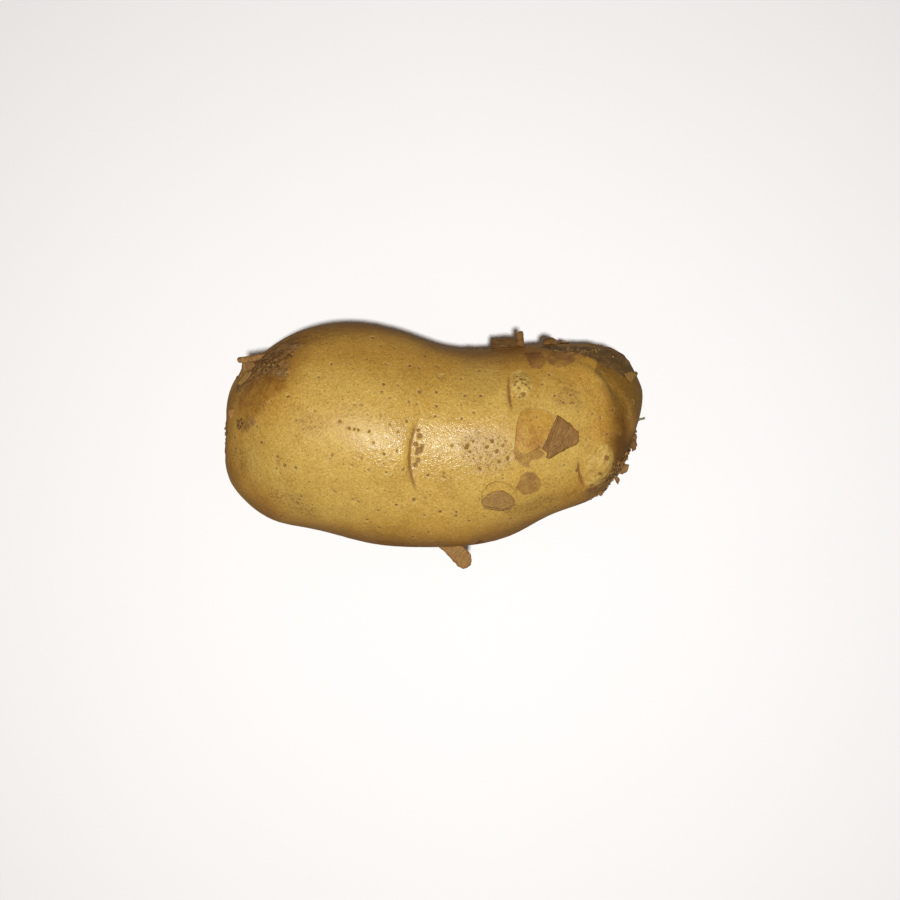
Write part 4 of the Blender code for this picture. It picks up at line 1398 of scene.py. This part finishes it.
# %% Material: potato skin
def skin_material():
    """The skin with all its layers, its shine and its bump."""
    material, tree, shader = new_material("potato skin")
    where = millimetres(tree)
    grain_inputs = {"Position": where, "Size": 1.0, "Contrast": GRAIN_CONTRAST}
    grain = put(tree, "Group", grain_inputs, node_tree=fine_grain)
    zone, rim, cloud = {}, {}, {}
    for name, edge in ZONE_EDGES.items():
        zone[name], rim[name] = zone_mask(tree, where, name, *edge)
    for name, (lumps, ranges) in PATTERNS.items():
        cloud[name] = spread(tree, clouds(tree, where, *lumps), *ranges)
    speck = {name: freckle_mask(tree, where, *values) for name, values in SPECKLES.items()}
    core, ring, outer = pore_masks(tree, where)
    crease_line = crease_mask(tree, where)
    flecks = times(tree, speck["flecks"], zone["russet"])
    bud_specks = times(tree, speck["bud"], zone["nubble"])

    warmth = calc(tree, "ADD", zone["straw"], cloud["drift"], clamp=True)
    flesh = layered(tree, BARE, (cloud["flesh"], 1.0, BARE_DEEP), (zone["fresh"], 1.0, FRESH))
    cracks = hairlines(tree, where, 2.2, 4.0, 0.6, 0.7)
    smooth_cork = layered(tree, BAND_DARK, (cloud["band"], 1.0, BAND), (cracks, 1.0, BAND_DARK))
    slant = put(tree, "Mapping", {"Vector": where, "Rotation": (0.0, 0.0, -0.6), "Scale": (0.16, 1.0, 1.0)})
    flakes = hairlines(tree, slant.outputs[0], 1.5, 3.0, 0.55, 0.55)
    scabby = spread(tree, attribute(tree, "pore_radius"), SCAB_FROM, SCAB_TO, 0.0, 0.92)
    depth = calc(tree, "MAXIMUM", cloud["pore"], times(tree, scabby, cloud["scab"]))
    outer = calc(tree, "MULTIPLY_ADD", clouds(tree, where, 0.6, 2.0), 1.6, calc(tree, "SUBTRACT", outer, 0.9))
    scab = mix(tree, spread(tree, outer, 0.2, 0.8), SCAB_PALE, SCAB)
    colour = layered(
        tree, OCHRE,
        (warmth, 1.0, STRAW),
        (cloud["patches"], 1.0, OCHRE_DEEP),
        (zone["russet"], cloud["dabs"], RUSSET),
        (flecks, 0.85, PORE_BROWN),
        (zone["stain"], cloud["stain"], STAIN),
        (rim["stain"], 0.38, FRECKLE),
        (zone["amber"], cloud["glow"], AMBER),
        (zone["amber"], cloud["mottled"], AMBER_DEEP),
        (zone["bare"], 1.0, flesh),
        (rim["bare"], 0.34, FRECKLE),
        # Painted shade: the sides, ends and underside multiplied darker.
        (zone["tan"], 1.0, SIDE_SHADE, "MULTIPLY"),
        # Painted shade: the rose end multiplied darker still.
        (zone["painted_end_shade"], 1.0, END_SHADE, "MULTIPLY"),
        (speck["pinpricks"], 0.38, FRECKLE),
        (speck["freckles"], 0.85, FRECKLE),
        (ring, 0.30, PORE_RIM),
        (crease_line, 0.82, CREASE),
        # The buds: their own yellow, with painted highlights in light streaks along their folds.
        (zone["bud"], 0.8, mix(tree, bud_highlight_streaks(tree, where), BUD_LOW, BUD_STREAK_HIGHLIGHT)),
        (bud_specks, 0.85, PORE_BROWN),
        (zone["band"], 0.9, smooth_cork),
        (zone["cork"], cloud["flaky"], mix(tree, cloud["crumbly"], CORK_DARK, CORK)),
        (zone["cork"], flakes, CORK_FLAKE),
        (core, depth, mix(tree, scabby, PORE_BROWN, scab)),
        (1.0, 1.0, grain.outputs["Shade"], "MULTIPLY"),
    )

    gloss = summed(
        tree, cloud["dullness"],
        (zone["cork"], 0.22), (flecks, 0.35), (zone["russet"], 0.12), (core, 0.45),
        (crease_line, 0.40), (zone["stain"], 0.35), (zone["bud"], 0.10), (zone["gleam"], -0.19),
    )

    cells = put(tree, "TexVoronoi", {"Vector": where, "Scale": 1.5, "Smoothness": 0.6}, feature="SMOOTH_F1")
    dull = calc(tree, "SUBTRACT", 1.0, zone["gleam"])
    calm = calc(tree, "MAXIMUM", calc(tree, "MAXIMUM", zone["bare"], zone["bud"]), dull)
    grainy = times(tree, grain.outputs["Height"], GRAIN_BUMP, summed(tree, 1.0, (calm, -0.60)))
    height = summed(
        tree, grainy,
        (cells.outputs["Distance"], CELL_BUMP), (core, -0.07), (ring, 0.015), (zone["bare"], -0.06),
        (rim["bare"], 0.05), (times(tree, zone["cork"], cloud["crumbly"]), 0.07), (bud_specks, -0.12),
    )
    fill(tree, shader, {
        "Base Color": colour, "Roughness": gloss, "Specular IOR Level": 0.44, "Normal": bumped(tree, height),
    })
    return material


dress(skin, skin_material())

# %% [markdown]
# ## The finish of the loose scraps
#
# Dry skin is parchment: thin, brown, streaked along the way it was torn, with darker blotches. Some
# scraps have turned over and show their pale inside. Where a paleness is below zero the scrap is darker:
# painted shade on the larger scraps, a darker tone of their own on the small flakes. A torn edge darkens
# too, partly with painted shadow where it curls off the skin. The streaks are noise that is stretched
# along the sheet's own grain, which every sheet stored when it was made.

# %% Material: loose skin
PARCHMENT = (0.365, 0.176, 0.054, 1.0)
PARCHMENT_DARK = (0.200, 0.092, 0.026, 1.0)
BLOTCH = (0.145, 0.070, 0.022, 1.0)
PALE_INSIDE = (0.47, 0.262, 0.085, 1.0)
# Painted shade on the scraps whose paleness is below zero; on the small flakes a darker tone of their own.
DARK_TONE_AND_SHADE = (0.42, 0.40, 0.34, 1.0)


def loose_material():
    """Streaked parchment with a paleness of its own for every scrap; below zero it darkens: painted shade on
    the larger scraps, their own darker tone on the flakes.
    """
    material, tree, shader = new_material("loose skin")
    where = attribute(tree, "grain", "Vector")
    pale = attribute(tree, "pale")
    grain = put(tree, "Group", {"Position": where, "Size": 0.9, "Contrast": 0.40}, node_tree=fine_grain)
    streaks = clouds(tree, vector(tree, "MULTIPLY", {0: where, 1: (3.2, 0.35, 1.0)}), 0.7, 3.0, 0.6)
    blotch = clouds(tree, where, 1.8, 3.0)
    colour = layered(
        tree, PARCHMENT_DARK,
        (spread(tree, streaks, 0.34, 0.66), 1.0, PARCHMENT),
        (spread(tree, blotch, 0.52, 0.72), 0.6, BLOTCH),
        (pale, 0.75, PALE_INSIDE),
        # Painted shade, and the flakes' darker tone, where paleness is below zero.
        (pale, -1.0, DARK_TONE_AND_SHADE, "MULTIPLY"),
        (1.0, 1.0, grain.outputs["Shade"], "MULTIPLY"),
    )
    height = summed(tree, times(tree, grain.outputs["Height"], 0.08), (streaks, 0.14))
    fill(tree, shader, {
        "Base Color": colour, "Roughness": spread(tree, blotch, 0.3, 0.7, 0.50, 0.68),
        "Specular IOR Level": 0.20, "Normal": bumped(tree, height),
    })
    return material


dress(loose_skin, loose_material())

# %% [markdown]
# ## Soil and roots
#
# Dried soil is matt, grey-brown and grainy. A rootlet is a pale fibre. Both are one colour drifting to
# another over the fine grain, so one function makes them, with its own values for each.

# %% Materials: soil and rootlets
SOIL_DARK, SOIL_LIGHT = (0.085, 0.046, 0.021, 1.0), (0.34, 0.205, 0.09, 1.0)
ROOT_DARK, ROOT_LIGHT = (0.12, 0.08, 0.045, 1.0), (0.42, 0.34, 0.22, 1.0)


def earthy_material(name, dark, light, contrast, roughness):
    """One colour drifting to another over the grain."""
    material, tree, shader = new_material(name)
    where = attribute(tree, "grain", "Vector")
    grain = put(tree, "Group", {"Position": where, "Size": 0.7, "Contrast": contrast}, node_tree=fine_grain)
    share = summed(tree, times(tree, clouds(tree, where, 0.8, 3.0), 0.6), (attribute(tree, "pale"), 0.5))
    colour = mix(tree, spread(tree, share, 0.25, 0.85), dark, light)
    fill(tree, shader, {
        "Base Color": mix(tree, 1.0, colour, grain.outputs["Shade"], "MULTIPLY"), "Roughness": roughness,
        "Normal": bumped(tree, times(tree, grain.outputs["Height"], 0.12)),
    })
    return material


dress(soil, earthy_material("soil", SOIL_DARK, SOIL_LIGHT, 0.5, 0.85))
dress(roots, earthy_material("rootlet", ROOT_DARK, ROOT_LIGHT, 0.4, 0.7))

# %% [markdown]
# ## Fastening every piece to the imported model
#
# The fine skin stands for the plain solid, which is hidden but stays in the imported model for its
# weight and its touch. Everything rides on the one body there is.

# %% Fasten every piece to the body and hide the solid
for piece in (skin, loose_skin, soil, roots):
    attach(piece, "root")
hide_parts("tuber")
print("pieces:", ", ".join(piece.name for piece in (skin, loose_skin, soil, roots)))

# %% [markdown]
# ## Floor, light and camera
#
# The potato lies on a plain pale floor and is seen from straight above, from close by, as with a phone
# held over a table. The light is one soft round panel next to the camera, a touch to the front, so the
# middle shines, the sides fall away into shade, and a thin shadow shows behind the back edge. A weak warm
# sky keeps the shadows open. A white floor would flood the sides of the potato with light, so the floor
# and the sky have two colours each: a pale one that the camera sees, and a darker, warmer one that
# lights the potato. The Light Path node tells which is asked for.

# %% Floor
FLOOR_WIDTH = 3.0
FLOOR_SEEN = ((1.135, 1.085, 1.145, 1.0), (1.155, 1.105, 1.165, 1.0))
FLOOR_LIGHTS = (0.36, 0.30, 0.22, 1.0)


def make_floor():
    """A wide square whose seen colour isn't the one that it throws back."""
    form = bmesh.new()
    bmesh.ops.create_grid(form, x_segments=1, y_segments=1, size=FLOOR_WIDTH / 2)
    mesh = bpy.data.meshes.new("floor")
    form.to_mesh(mesh)
    form.free()
    floor = new_object("floor", mesh)
    material, tree, shader = new_material("pale floor")
    pale = mix(tree, clouds(tree, millimetres(tree), 60.0, 2.0), *FLOOR_SEEN)
    seen = put(tree, "LightPath", {}).outputs["Is Camera Ray"]
    fill(tree, shader, {"Base Color": mix(tree, seen, FLOOR_LIGHTS, pale), "Roughness": 0.9})
    mesh.materials.append(material)
    floor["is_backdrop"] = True


make_floor()
print("floor", FLOOR_WIDTH, "m wide")

# %% Light and sky
# Places and width in millimetres.
LIGHT_PLACE = (10.0, -46.0, 500.0)
LIGHT_AIM = (5.0, 0.0, 25.0)
LIGHT_WIDTH = 26.0
LIGHT_WATTS = 2.06
LIGHT_COLOUR = (0.96, 1.0, 0.95)
# What the sky gives as light, and what the camera sees of it.
SKY_STRENGTHS = (0.10, 0.86)
SKY_COLOURS = ((1.0, 0.86, 0.66, 1.0), (1.0, 1.0, 1.0, 1.0))

panel = bpy.data.lights.new("main light", "AREA")
panel.shape = "DISK"
panel.size = LIGHT_WIDTH * MM
panel.energy = LIGHT_WATTS
panel.color = LIGHT_COLOUR
light = new_object("main light", panel)
light.location = Vector(LIGHT_PLACE) * MM
light.rotation_euler = (Vector(LIGHT_AIM) - Vector(LIGHT_PLACE)).to_track_quat("-Z", "Y").to_euler()
world = bpy.data.worlds.new("pale sky")
world.use_nodes = True
sky = world.node_tree
seen = put(sky, "LightPath", {}).outputs["Is Camera Ray"]
fill(sky, sky.nodes["Background"], {
    "Strength": spread(sky, seen, 0.0, 1.0, *SKY_STRENGTHS), "Color": mix(sky, seen, *SKY_COLOURS),
})
bpy.context.scene.world = world
bpy.context.scene.view_settings.view_transform = "Standard"
print("light", light.name, "of", panel.energy, "W, sky", SKY_STRENGTHS[0])

# %% Camera
# Millimetres: where the camera is, and how wide the frame is at the middle of the potato.
CAMERA_PLACE = (3.75, -3.75, 280.5)
MIDDLE_LEVEL = 23.5
FRAME_WIDTH = 228.0
SENSOR_WIDTH = 36.0

camera_data = bpy.data.cameras.new("camera")
camera_data.sensor_width = SENSOR_WIDTH
camera_data.lens = SENSOR_WIDTH * (CAMERA_PLACE[2] - MIDDLE_LEVEL) / FRAME_WIDTH
camera_data.clip_start = 0.01
camera = new_object("camera", camera_data)
camera.location = Vector(CAMERA_PLACE) * MM
bpy.context.scene.camera = camera
print("lens %.1f mm" % camera_data.lens)

# %% [markdown]
# ## The two boxes
#
# The box of the solid and the box of the finished pieces are printed, one under the other.

# %% Write the sizes and finish
visual_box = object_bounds()
for label, box in (("solid", cad_box), ("finished", visual_box)):
    print(label, "box in mm:", [[round(value / MM, 2) for value in corner] for corner in box])
